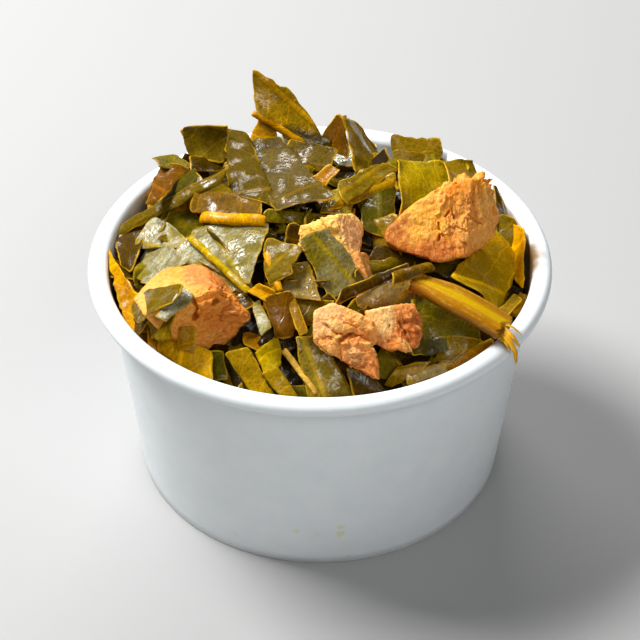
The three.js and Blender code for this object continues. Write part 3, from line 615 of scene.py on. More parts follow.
leftLeaves = {
    "leftProp": ("dark", -30, 21, 53, 60, 20, 50, 16, 8, 8, 0, 0, -20),
    "leftProp2": ("darkOlive", -34, 12, 52, 80, 5, -50, 14, 9, 8, 0, 0, -20),
    "leftTip": ("green", -32.2, 22.4, 59.5, 34, -20, 5, 7.4, 4.6, 5.8, 0.4, -2.2, -40, dict(sheen=0.85)),
    "leftTipBody": ("brown", -33.1, 14.9, 59, 72, 0, 5, 14.7, 2, 7.3, -1.9, -1.9, -40),
    "longDiagonal": ("darkOlive", -32, 11.2, 56.7, 5, 30, 15, 27.9, 3.2, 3.4, 0, 2.1, -60),
    "longDiagonalBack": ("darkGreen", -30.9, 15, 57.5, 17, 35, -5, 12.4, 3.8, 7.1, -2, -1.2, -50),
    "longDiagonalLow": ("amber", -30.2, 11.9, 55, 5, 25, 30, 10.8, 1.5, 2.8, 2.1, 3.9, -50),
    "leftWallLeaf": ("dark", -40, 4.9, 50, 85, 5, -25, 13.9, 3.3, 9.8, 3.5, 0.7, 20),
    "silverLeftUpper": ("silver", -33.3, 4.2, 53.7, 93, 10, -25, 7.8, 14.9, 5, 6.8, 5, -25),
    "silverLeftLower": ("silver", -34.3, -3.7, 52, 17, 35, -10, 10.3, 11.7, 17.9, -4.5, -5.8, -20),
    "leftWedge": ("gold", -39.9, -10.2, 50, 111, 4, -40, 27, 6.4, 1.2, 6.1, 1.1, 20, dict(sheen=0)),
    "leftWedgeEnd": ("orange", -34, -23, 47, -55, -15, 55, 11, 5, 2, 5, 2, 10),
}
middleLeaves = {
    "brownCrumple": ("bronze", -19.3, 5.5, 60.5, -24, 10, 20, 16.4, 6.7, 5.7, -1.4, -3.1, -60, dict(sheen=0.5)),
    "goldBar": ("gold", -18, 1.2, 60, -22, 12, 25, 15, 2.8, 2.4, 0, 0, -70, dict(wavy=0.3, stem=1.8)),
    "backGreenSliver": ("green", -5, 1, 60.5, 0, -5, 40, 14, 3, 2, 2, 0, -20),
    "silverMiddle": ("silver", -19, -6.2, 58, -30, 15, 15, 16.5, 9.7, 18.3, -7.8, -5.1, -25, dict(rib=(-38, 1))),
    "ribLeft": ("yellowGreen", -21, -10.8, 57.9, -55, 0, 30, 22, 1.7, 1.5, 0, 0, 0,
        dict(bend=-15, wavy=0.3, stem=1.4)),
    "silverUnder": ("silver", -21.8, -9.9, 55.5, -47, 0, 30, 21.2, 5.1, 4, -1, 0.4, -20),
    "goldMiddle": ("darkOlive", -7.9, -14.2, 61, -24, 15, 15, 7.3, 13.2, 7.6, -5.7, -0.1, -30, dict(rib=(60, 0))),
    "goldStem": ("gold", -9.5, -16, 59.6, -73, -10, 20, 11, 1.4, 1.4, 0, 0, -80, dict(wavy=0.3, stem=1.3)),
    "goldLoop": ("gold", -11, -20.5, 57.8, -35, -5, 55, 5, 3, 3, 2, 0, 100),
    "goldStrand": ("brown", -7.7, -25.5, 56, 103, 30, -10, 9.7, 3.8, 7, 0.5, -0.8, -60),
    "greenMiddle": ("olive", -4.2, -17.3, 58.2, 93, 15, -10, 9.2, 8.6, 3.9, 2.4, -1, -20, dict(sheen=0.74)),
    "hamCover": ("green", 2.3, -13.2, 60.2, -49, -32, 10, 14.3, 6.5, 10.9, 0.9, 0.1, -30,
        dict(rib=(5, -0.4), sheen=0.72)),
    "edgeMiddle": ("dark", 10.7, -18.2, 58.6, 29, 6, 45, 16.8, 2.9, 1.8, 3.4, 0.7, -60),
    "crumpleMiddle": ("olive", 13.2, -19.6, 56.5, 20, 5, 45, 12.2, 2.1, 8.3, -0.3, 1.5, -70, dict(sheen=0.72)),
    "smallMiddle": ("darkOlive", -1.6, -23.3, 55, 1, 0, 30, 7.2, 6.4, 5.1, -0.5, 2.3, -20),
    "underHam": ("dark", 14.8, -8.2, 56, 11, -10, 25, 10.1, 8.6, 4.1, 4.3, 1.5, -20),
}
hamLeaves = {
    "hamProp": ("dark", -36, -21, 51, 0, 60, 10, 10, 7, 5, 0, 0, -20),
    "wedgeProp": ("dark", -37.5, -11, 47, 100, 0, 20, 14, 7, 6, 0, 0, -20),
    "hamFlapLeft": ("darkOlive", -33.2, -23.9, 58.6, -35, 40, 28, 15.6, 9.2, 4.4, -8, 1.5, -30,
        dict(sheen=0.3, bend=-20)),
    "hamSilver": ("silver", -28.7, -27.3, 60, 42, 22, 10, 8.4, 3, 4, -0.5, -0.1, -50),
    "hamShade": ("olive", -31.7, -27.4, 54, -34, 30, 40, 7, 4.2, 6, -2.2, 0.4, -30),
    "hamRing": ("amber", -34, -24.5, 50.3, -80, -30, 10, 8, 1.5, 1.8, 0, 0, 0, dict(bend=-30, wavy=0.2, stem=1)),
    "goldFront": ("brightGold", -27.3, -28.2, 48.2, -38, 2, 48, 15, 4, 6.6, -3, -3, -30, dict(wavy=0.15, sheen=0.3)),
    "hamScrap": ("oldGold", -26.6, -28.2, 52.2, 88, 60, 0, 5, 4, 3.2, 1, 0.1, -20, dict(wavy=0.2)),
}
rightLeaves = {
    "rightProp": ("olive", 36, 14, 47, 100, 20, -20, 15, 8, 8, 0, 0, -30),
    "rightBig": ("lightOlive", 35.8, -4, 51, 70, -10, 35, 23.4, 13.3, 8.8, -2.9, 2.1, -25,
        dict(sheen=0.05, wavy=0.12)),
    "rightWall": ("gold", 41.6, 5, 48.5, 85, 15, -60, 14.6, 6.5, 8, 10.7, 7.1, 20),
    "rightSpike": ("dark", 38.5, 17.2, 50.5, 97, 20, 40, 12.9, 4.4, 1.2, -1.3, -0.1, 0),
    "rightCurl": ("bronze", 41.6, -11.2, 46.4, 63, 35, -35, 5.5, 5, 4, 2, 0.7, 60),
    "underStalk": ("green", 25.3, -21.8, 51, 3, -15, 35, 14, 14.4, 7.9, -2.1, -2.3, -35, dict(sheen=0.64)),
}
frontLeaves = {
    "frontRightOlive": ("olive", 27, -26.2, 47.5, 35, 30, 35, 7.3, 3.5, 6.3, -2.7, -4.6, -40),
    "frontRightBrown": ("oldGold", 29.5, -26.7, 46, 27, 10, 50, 13.2, 3.3, 2.4, 1.3, 0.5, -40),
    "frontSheen": ("lightOlive", 21.3, -32.7, 47, 24, -5, 45, 9.1, 3.3, 2.2, 0.9, 0.9, -50, dict(sheen=0.8)),
    "frontRightEdge": ("olive", 17.1, -33.6, 47.5, 6, 20, 60, 8, 4.4, 1.5, 5.9, 3.6, -40),
    "frontLeaf": ("sage", 0, -34.6, 50, -61, -45, 20, 13.4, 5.5, 9.2, 2.2, 2.4, -35, dict(rib=(0, 1))),
    "paleStrand": ("pale", -4, -34.8, 49.3, -47, -30, 20, 11, 1.4, 1.1, 0, 0, 0, dict(bend=-20, wavy=0.2, stem=0.9)),
    "frontStrip": ("lightOlive", -14.1, -34.3, 48.5, -52, -35, 35, 10.9, 4.8, 4.1, 1.7, 3, -50),
    "frontCurl": ("yellowGreen", -9.9, -32.4, 50.5, -66, -40, 25, 6, 5.8, 4.5, -1.2, -2.6, -80),
    "frontDark": ("dark", 9, -37.1, 48, -48, -50, 20, 5.4, 4.2, 6.5, 3.8, 1.9, -30),
    "frontLeftDark": ("darkGreen", -20.8, -31.7, 48, -70, -40, 25, 5.9, 5.1, 3.3, 0.8, 0.6, -30),
}
smallLeaves = {
    "stalkHood": ("bronze", 18.6, -19.3, 62.4, 32, -5, 20, 9.6, 3.5, 2.8, 1.4, -0.5, -30, dict(sheen=0.4, fold=-60)),
    "frontCurlLow": ("lightOlive", -7.9, -37.5, 48.2, -44, -35, 30, 6.9, 3.7, 2.8, 0.9, 1.3, -50),
    "silverStrip": ("silver", -11.8, -26.1, 56.2, -78, 10, 10, 13, 2, 2.7, -0.6, -1.9, -40),
    "ribbonRight": ("bronze", -4.5, -27.9, 57.5, -78, 5, 10, 13, 2.1, 2, -0.6, -0.6, -60),
    "darkBack": ("deepOlive", -1.9, 23.6, 60.5, -23, 0, 20, 11.1, 5.9, 6.4, -0.8, -0.9, -30, dict(sheen=0.62)),
    "leftUnder": ("bronze", -23, 10.6, 58, -22, 0, 20, 9, 4.3, 4.6, -0.7, -0.7, -40, dict(sheen=0.5)),
    "rightCurlLow": ("olive", 38.4, -15.7, 49.5, 53, 10, -10, 8.3, 3.1, 2.9, 1.8, 0.9, 40),
    "frontRightDark": ("darkGreen", 21.8, -28.5, 50.5, 19, -10, 30, 8, 3.9, 3.4, 0.4, 0.3, -40, dict(sheen=0.66)),
    "midGreen": ("green", 5.1, -10, 57, 52, 0, 10, 7.5, 6, 4, 4.1, 1.3, -40),
}


# A row of those tables as the leaf that leafSheet takes
def leafOf(tone, x, y, z, turn, rise, roll, long, wideA, wideB, slantA, slantB, curl, more=()):
    return {"tone": tone, "at": (x, y, z), "turn": turn, "rise": rise, "roll": roll, "long": long,
            "wide": (wideA, wideB), "slant": (slantA, slantB), "curl": curl, **dict(more)}


# Cup section: bottom disc, standing ring, wall up to the underside of the roll, the oval roll, and
# down the inside to the disc, as radius and height; the roll is an ellipse stepped by angle
def cupSection():
    footInner = cup["baseRadius"] - cup["footWidth"]
    underRoll = 180 + math.degrees(math.acos((rollRadius - innerTop - cup["wall"]) / cup["rollHalfWide"]))
    arc = np.radians(np.linspace(underRoll, 540, 40))
    halfWide, halfTall = cup["rollHalfWide"], cup["rollHalfTall"]
    roll = np.stack([rollRadius + halfWide * np.cos(arc), rollHeight + halfTall * np.sin(arc)], -1)
    base = cup["baseRadius"]
    floorTop = cup["recess"] + cup["disc"]
    rise = np.linspace(0, 1, 30)[1:-1, None]
    outside = lerp(np.array([[base, 0.9]]), roll[:1], rise)
    inside = lerp(roll[-1:], np.array([[innerRadius(floorTop + 1), floorTop + 1]]), rise)
    return np.concatenate([
        [[0.01, cup["recess"]], [footInner - 0.8, cup["recess"]], [footInner, cup["recess"] - 0.5],
         [footInner + 0.05, 0.25], [footInner + 0.25, 0], [base - 0.35, 0], [base - 0.06, 0.2]],
        outside, roll, inside,
        [[innerRadius(floorTop) - 0.8, floorTop], [0.01, floorTop]],
    ])


# Section turned round +Z: x = r cos a, y = r sin a
def turnedRound(section, segments):
    a = np.linspace(0, 2 * np.pi, segments, endpoint=False)[None, :]
    r, z = section[:, 0, None], section[:, 1, None]
    return np.stack([r * np.cos(a), r * np.sin(a), z + 0 * a], -1).reshape(-1, 3)


paper = {
    "colour": (234, 239, 241),
    "mottle": (0.95, 0.955, 0.96),
    "roughness": 0.42,
    # heading in degrees, height and width in mm, and strength of the dried drips on the outside
    "drips": [(-116.4, 5.1, 1.6, 0.5), (-96.9, 10.0, 1.5, 0.7), (-90.8, 9.7, 1.2, 0.6),
              (-83.8, 11.7, 1.6, 0.9), (-84.0, 9.4, 2.0, 1.0), (-81.3, 1.8, 1.0, 0.7)],
    # heading, height, distance from the axis, width and strength of the amber-brown marks inside the roll at the
    # right
    "rollMarks": [(3.5, 49.8, 45.2, 3.0, 0.9), (0, 50.0, 45.3, 3.3, 0.95), (-4, 49.8, 45.2, 3.0, 0.95),
               (-8, 49.2, 45.0, 2.4, 0.9)],
    "dripColour": (226, 220, 170),
    "amberBrown": (150, 112, 48),
}


# Marks: each is full near its spot on a circle, given in mm, fades out at its reach, and is ragged
def marked(colour, place, ragged, tint, degrees, radius, z, outer, inner, strength):
    a = math.radians(degrees)
    spot = (radius * math.cos(a) * mm, radius * math.sin(a) * mm, z * mm)
    away = node(place.tree, "VectorMath", {0: place, 1: spot}, "Value", operation="DISTANCE") + ragged
    return mix(away.soft(outer * mm, inner * mm, 0, strength), colour, linear(paper[tint]))


# White paper, mottled, with dried drips outside, amber-brown marks inside the roll at the right, and broth soaked in
# inside up to a wavy level, the same amber-brown reaching higher towards the right
def makePaper():
    material, shader, place = newMaterial("whitePaper")
    x, y, z = place.split()
    plain = linear(paper["colour"])
    colour = mix(place.noise(160, 5, 0.6).soft(0.3, 0.75), plain, plain * paper["mottle"])
    ragged = place.noise(900, 3, 0.6) - 0.5
    for degrees, height, size, strength in paper["drips"]:
        radius = lerp(cup["baseRadius"], innerTop + cup["wall"], height / rollHeight)
        colour = marked(colour, place, ragged * 0.0016, "dripColour", degrees, radius, height,
                        size * 0.55, size * 0.3, strength * 0.7)
    # Amber-brown marks on the inner side of the roll, at the right
    for degrees, height, radius, size, strength in paper["rollMarks"]:
        colour = marked(colour, place, ragged * 0.0012, "amberBrown", degrees, radius, height,
                        size, size * 0.3, strength)
    # The amber-brown inside reaches higher towards the right
    higher = x.soft(0.02, 0.044, 0.0, 0.009) * y.soft(0.012, 0.002, 0.4, 1.0)
    level = z + (place.noise(55, 4, 0.65) - 0.5) * 0.014 - higher
    soaked = place.noise(70, 4, 0.6).soft(0.3, 0.6, 0.4, 1.0) * 0.85
    juice = attribute(place, "inside") * level.soft(0.0492, 0.0445) * soaked
    fibre = place.noise(1500, 4, 0.7)
    fill(shader, {
        "Base Color": mix(juice, colour, linear(paper["amberBrown"])),
        "Roughness": fibre.soft(0.2, 0.8, paper["roughness"] - 0.06, paper["roughness"] + 0.06),
        "Specular IOR Level": 0.45,
        "Normal": (place.noise(260, 3, 0.5) * 1.6 + fibre).bump(0.16, 0.0002),
    })
    return material


# The section turned round, with the rows from the roll's inner side down marked as inside
def makeCup():
    section = cupSection()
    points = turnedRound(section, cup["segments"])
    faces = gridFaces(len(section), cup["segments"], wrap=True)[:, ::-1]
    within = np.arange(len(section)) > len(section) - 34
    piece = addPiece("paperCup", points, faces, makePaper(), "cup",
                     {"inside": np.repeat(within.astype(float), cup["segments"])})
    print("cup", 2 * len(faces), "triangles")
    return piece


heap = {
    "centre": (-1, 4),
    "radius": 44,
    "edge": 45,
    "dome": 14.5,
    "depth": 3.6,
    "bump": 1.3,
    "mounds": [(-16, -10, 15, 2), (8, -18, 10, 2.2)],
    "rings": 90,
    "sides": 240,
    "bottom": 4.5,
}


# Height of the leaves' surface: a dome over the cup's mouth, edge + dome (1 - r squared) to the 0.85
def heapTop(x, y):
    r = np.minimum(1, np.hypot(x - heap["centre"][0], y - heap["centre"][1]) / heap["radius"])
    return heap["edge"] + heap["dome"] * (1 - r * r) ** 0.85


# The core lies under that surface, with two sine bumps and a few round mounds
def coreTop(x, y):
    bumps = np.sin(0.42 * x + 1.3) * np.cos(0.37 * y) + 0.6 * np.sin(0.7 * x + 0.55 * y)
    top = heapTop(x, y) - heap["depth"] + heap["bump"] * bumps
    for cx, cy, radius, height in heap["mounds"]:
        top = top + height * np.exp(-((x - cx) ** 2 + (y - cy) ** 2) / radius ** 2)
    return top


# Core over radius and angle: the top above with packed-leaf ridges, then the wall's cone down to a flat base
def makeCore():
    a = np.linspace(0, 2 * np.pi, heap["sides"], endpoint=False)[None, :]
    edge = innerRadius(heap["edge"] - heap["depth"] - heap["bump"]) - cup["gap"]
    r = edge * np.linspace(0.002, 1, heap["rings"])[:, None]
    x, y = r * np.cos(a), r * np.sin(a)
    ridges = 1 - np.abs(2 * layeredNoise(np.stack([x * 0.21, y * 0.21, 0 * x + 5], -1), 4) - 1)
    z = coreTop(x, y) + 2.4 * (ridges - 0.75)
    low = innerRadius(heap["bottom"]) - cup["gap"]
    skirt = [[x[-1] * low / edge, y[-1] * low / edge, 0 * x[-1] + heap["bottom"]],
             [0.002 * x[-1], 0.002 * y[-1], 0 * x[-1] + heap["bottom"]]]
    points = np.concatenate([np.stack([x, y, z], -1), np.moveaxis(np.array(skirt), 1, 2)]).reshape(-1, 3)
    faces = gridFaces(heap["rings"] + 2, heap["sides"], wrap=True)
    count = len(points)
    values = {
        # The core takes the near-black tone: painted shade for the gaps between the leaves
        "leafTone": np.tile(linear(leafTones["cavity"]), (count, 1)),
        "leafSpot": np.stack([points[:, 0], points[:, 1], 0 * points[:, 2]], -1),
        "rimDistance": np.full(count, 4.0),
        "sheen": np.full(count, 0.4),
    }
    addPiece("packedGreens", keepInside(points), faces, cookedLeaf, "greens", values)
    print("core", 2 * len(faces), "triangles")


# Chance numbers for one leaf: pick(k, low, high) is the kth, spread from low to high
def picker(start):
    return lambda k, low, high: lerp(low, high, chance(start + k))


# The leaf that would lie over the left rim sinks further in, and is dark
farLeaves = {
    "count": 12, "from": -12, "to": 190, "overRim": 11, "sink": (1, 3), "seed": 200, "spacing": 0.4,
    "tones": ["olive", "darkOlive", "amber", "green", "lightOlive", "silver", "yellowGreen"],
}


# Far leaf i stands at an even step of heading from the axis, near and far in turn, on the heap's surface
def farLeaf(i):
    pick = picker(i * 11)
    a = math.radians(lerp(farLeaves["from"], farLeaves["to"], (i + 0.5) / farLeaves["count"]))
    r = pick(9, 36, 39) if i % 2 else pick(9, 24, 31)
    x, y = r * math.cos(a), r * math.sin(a)
    slope = (heapTop(x + 1, y) - heapTop(x - 1, y)) / 2
    overRim = i == farLeaves["overRim"]
    tone = "dark" if overRim else farLeaves["tones"][i % len(farLeaves["tones"])]
    return {
        "tone": tone, "at": (x, y, heapTop(x, y) - farLeaves["sink"][overRim]), "turn": pick(1, 0, 360),
        "rise": pick(2, -22, 22), "roll": pick(3, -25, 25) + 20 * slope, "long": pick(4, 12, 17),
        "wide": (pick(5, 8, 12), pick(6, 6, 11)), "curl": pick(7, -60, -10), "bend": pick(8, -40, 20),
    }


scraps = {
    "count": 130,
    "seed": 300,
    "spacing": 0.42,
    "reach": 41.5,
    "goldenTurn": 137.508,
    "size": (8, 17),
    # cavity is the near-black tone that paints shade into the gaps
    "tones": ["dark", "darkOlive", "olive", "darkGreen", "brown", "green", "dark", "cavity", "amber", "darkOlive"],
}


# Scrap i lies at radius reach * sqrt(i / count) on a golden-angle spiral, just over the core, at a chance tilt
def scrapLeaf(i):
    pick = picker(i * 13 + 500)
    a = math.radians(i * scraps["goldenTurn"])
    r = scraps["reach"] * math.sqrt((i + 0.5) / scraps["count"])
    x, y = r * math.cos(a), r * math.sin(a)
    fall = np.array([coreTop(x + 2, y) - coreTop(x - 2, y), coreTop(x, y + 2) - coreTop(x, y - 2)]) / 4
    turn = pick(1, 0, 360)
    c, d = math.cos(math.radians(turn)), math.sin(math.radians(turn))
    rise = math.degrees(math.atan(fall[0] * c + fall[1] * d)) + pick(2, -20, 20)
    roll = math.degrees(math.atan(-fall[0] * d + fall[1] * c)) + pick(3, -26, 26)
    width = pick(5, 4, 10)
    return {
        "tone": scraps["tones"][int(pick(9, 0, 0.999) * len(scraps["tones"]))],
        "at": (x, y, coreTop(x, y) + pick(6, -1.0, 1.3)), "turn": turn, "rise": rise, "roll": roll,
        "long": pick(4, *scraps["size"]), "wide": (width, width * pick(7, 0.5, 1.1)),
        "slant": (pick(8, -4, 4), pick(10, -4, 4)), "curl": pick(11, -90, 10), "bend": pick(12, -50, 20),
        "fold": pick(13, -110, 60), "foldAt": pick(14, -0.7, 0.7),
    }


hamScrapFaces = [
    (0, 30, 2.5), (120, 30, 2.5), (-120, 30, 2.5), (60, -40, 3), (180, -30, 3), (-60, -40, 3),
]
# Each chunk: its middle, the heading and slope of its fibres, its flat sides as heading, slope and distance,
# where it is torn as heading, slope and spread, patches of colour as heading, slope, spread and colour, partly
# the meat's own and partly painted light on faces turned up towards the lamp and painted shade on faces turned
# down or away, cracks from one direction to another with width in radians and depth, and peaks that stand up from it
hamLeft = {
    "at": (-26, -19, 53), "seed": 1, "grain": (25, 10), "grid": 84, "node": "ham_left", "base": (244, 156, 46),
    "faces": [(155, 30, 10), (130, 45, 9), (95, 50, 8.5), (40, 40, 8), (20, 45, 7.5), (-10, -10, 12.3),
              (-30, -30, 10.5), (-70, -50, 9), (-120, -45, 7.5), (-150, -30, 8), (150, 75, 5.5), (-75, 20, 7),
              (90, -40, 6)],
    "torn": [(-35, 25, 34)],
    "toneAndShadingPatches": [(-165, 45, 46, (248, 172, 72)), (40, 50, 46, (214, 124, 46)), (-40, 0, 44, (232, 138, 42)),
                (-100, -10, 34, (244, 156, 48))],
    "cracks": [(-82, 50, -74, 34, 0.07, 1.1), (-74, 34, -83, 20, 0.06, 1.0), (-82, 17, -39, 36, 0.09, 1.5),
               (-179, 69, -150, 66, 0.05, 0.9), (-39, 15, -44, -11, 0.06, 0.8), (-30, 40, -20, 20, 0.05, 0.7)],
}
hamMiddle = {
    "at": (3, -5, 59), "seed": 2, "grain": (-60, 10), "grid": 56, "node": "ham_middle", "base": (255, 198, 98),
    "faces": [(120, 45, 5), (105, 50, 5), (35, 35, 6.5), (-5, -5, 5.5), (-45, -40, 6), (-125, -45, 6),
              (-165, -20, 6.5), (180, 0, 7), (-20, 40, 4.5), (-110, 45, 4.5), (90, -40, 5)],
    "torn": [(-130, 35, 50)],
    "toneAndShadingPatches": [(-15, 35, 42, (250, 188, 122)), (-130, 30, 40, (255, 188, 72))],
    "cracks": [(-139, 50, -101, 38, 0.12, 0.8), (-101, 38, -69, 5, 0.1, 0.9), (-61, 67, -55, 23, 0.08, 0.5)],
}
hamMiddleBit = {
    "at": (7.5, -11.5, 56.5), "seed": 7, "grain": (60, 30), "grid": 28, "node": "ham_middle", "base": (232, 156, 74),
    "faces": hamScrapFaces, "torn": [], "toneAndShadingPatches": [], "cracks": [],
}
hamRight = {
    "at": (25, -1, 60), "seed": 3, "grain": (100, 50), "grid": 84, "node": "ham_right", "base": (244, 150, 30),
    "faces": [(170, 10, 10.5), (145, 35, 7), (125, 45, 6.5), (65, 50, 10.5), (15, 20, 12), (-5, -5, 11.5),
              (-40, -40, 8.5), (-70, -50, 7.5), (-115, -50, 7.5), (-135, -40, 9.5), (-85, 50, 5.5),
              (-30, 25, 7.5), (90, -40, 6)],
    "torn": [(0, 40, 60), (-60, 40, 40), (40, 60, 50)],
    "toneAndShadingPatches": [(-130, 40, 40, (255, 178, 56)), (-30, 20, 46, (246, 164, 66)), (-165, -5, 34, (196, 106, 24)),
                (-100, -20, 36, (206, 110, 26)), (-60, -34, 30, (216, 124, 34))],
    "cracks": [(-101, 41, -96, 12, 0.05, 0.9), (-44, 66, -54, 46, 0.045, 0.8), (-60, 30, -48, 18, 0.05, 0.6),
               (-80, 55, -62, 62, 0.07, 0.8), (-20, 35, -12, 10, 0.06, 0.8)],
    "peaks": [(55, 45, 8, 2.4), (38, 37, 7, 2.4), (27, 29, 7, 2.2), (16, 18, 7, 1.4), (80, 50, 9, 1.4)],
}
hamFrontLeft = {
    "at": (4.5, -29.5, 55), "seed": 4, "grain": (-40, -10), "grid": 60,
    "node": "ham_front_left", "base": (252, 172, 84),
    "faces": [(125, 45, 6), (60, 45, 4.5), (45, 40, 4.7), (10, 10, 6.5), (-40, -40, 5.5), (-120, -45, 5),
              (-135, -40, 5), (180, 0, 5.7), (-90, 50, 4), (-70, 10, 5), (90, -40, 5)],
    "torn": [(-80, 20, 60)],
    "toneAndShadingPatches": [(-170, 55, 40, (252, 190, 120)), (-60, 10, 30, (240, 150, 62))],
    "cracks": [(-98, 17, -62, 30, 0.13, 1.4), (-150, 40, -110, 30, 0.09, 0.9), (-80, 62, -42, 40, 0.08, 0.8),
               (-140, 10, -120, 0, 0.07, 0.7)],
}
hamFrontLobe = {
    "at": (7.5, -34, 52.5), "seed": 6, "grain": (-60, 10), "grid": 36,
    "node": "ham_front_left", "base": (238, 146, 66),
    "faces": [(120, 45, 3.5), (30, 35, 3), (15, 15, 3), (0, 0, 4), (-125, -45, 2.5), (-140, -40, 2.5),
              (-170, -15, 3), (-90, 40, 2.5), (90, -40, 4)],
    "torn": [(-60, 20, 70)], "toneAndShadingPatches": [(-100, 40, 40, (234, 164, 96))], "cracks": [],
}
hamFrontRight = {
    "at": (15, -28.5, 55), "seed": 5, "grain": (90, 60), "grid": 56,
    "node": "ham_front_right", "base": (228, 136, 56),
    "faces": [(110, 50, 4.6), (95, 50, 4.6), (5, 10, 4.6), (-10, -10, 5), (-80, -50, 4.2), (-135, -40, 4.6),
              (-170, -10, 5), (-60, 50, 3.8), (-110, 30, 4.2), (90, -40, 4.5)],
    "torn": [(-40, 20, 50)],
    "toneAndShadingPatches": [(-160, 40, 44, (252, 200, 122)), (-30, 20, 46, (214, 118, 44))],
    "cracks": [(-72, 60, -60, 20, 0.1, 0.9), (-40, 50, -30, 10, 0.08, 0.7), (-118, 45, -110, 0, 0.07, 0.5)],
}
meat = {
    "blunt": 26,
    "large": 1.1,          # height of the large flakes in mm
    "small": 0.42,          # height of the small ones
    "fibre": 0.22,          # height of single fibres
    "sharp": 0.06,          # width of the gaps between flakes, in flakes
    # red-brown painted shade for the gaps between the flakes and the cracks
    "creviceShade": (158, 66, 10),
    # pale painted highlight for the crests of the flakes
    "crest": (250, 192, 98),
    "dryRoughness": 0.5,
    "wetRoughness": 0.32,
}


# Direction from its heading and slope: (cos s cos h, cos s sin h, sin s)
def heading(degrees, slope):
    h, s = math.radians(degrees), math.radians(slope)
    return np.array([math.cos(s) * math.cos(h), math.cos(s) * math.sin(h), math.sin(s)])


# Ridges from noise: 1 on the crests, 0 in the gaps, one minus twice its distance from the middle value
def ridged(points, seed):
    return 1 - np.abs(2 * layeredNoise(points, seed) - 1)


# Flakes: the nearest of jittered points, one to a unit cell, gives each spot a chance height and tilt;
# the height is that chance plus the way to the point along the tilt, and the gap is how near the next one is
def flakesAt(points, seed):
    home = np.floor(points)
    nearest, second = np.full(len(points), 9.0), np.full(len(points), 9.0)
    height = np.zeros(len(points))
    for corner in np.ndindex(3, 3, 3):
        cell = home + corner - 1
        key = cell @ np.array([1.71, 3.37, 7.93]) + seed * 0.37
        jitter = np.stack([chance(key), chance(key + 11.3), chance(key + 23.9)], -1)
        tilt = np.stack([chance(key + 5.1), chance(key + 7.7), chance(key + 9.2)], -1) - 0.5
        away = points - cell - 0.15 - 0.7 * jitter
        far = np.linalg.norm(away, axis=-1)
        closer = far < nearest
        second = np.where(closer, nearest, np.minimum(second, far))
        height = np.where(closer, chance(key + 31.7) - 0.5 + 1.4 * np.sum(away * tilt, -1), height)
        nearest = np.where(closer, far, nearest)
    return height, second - nearest


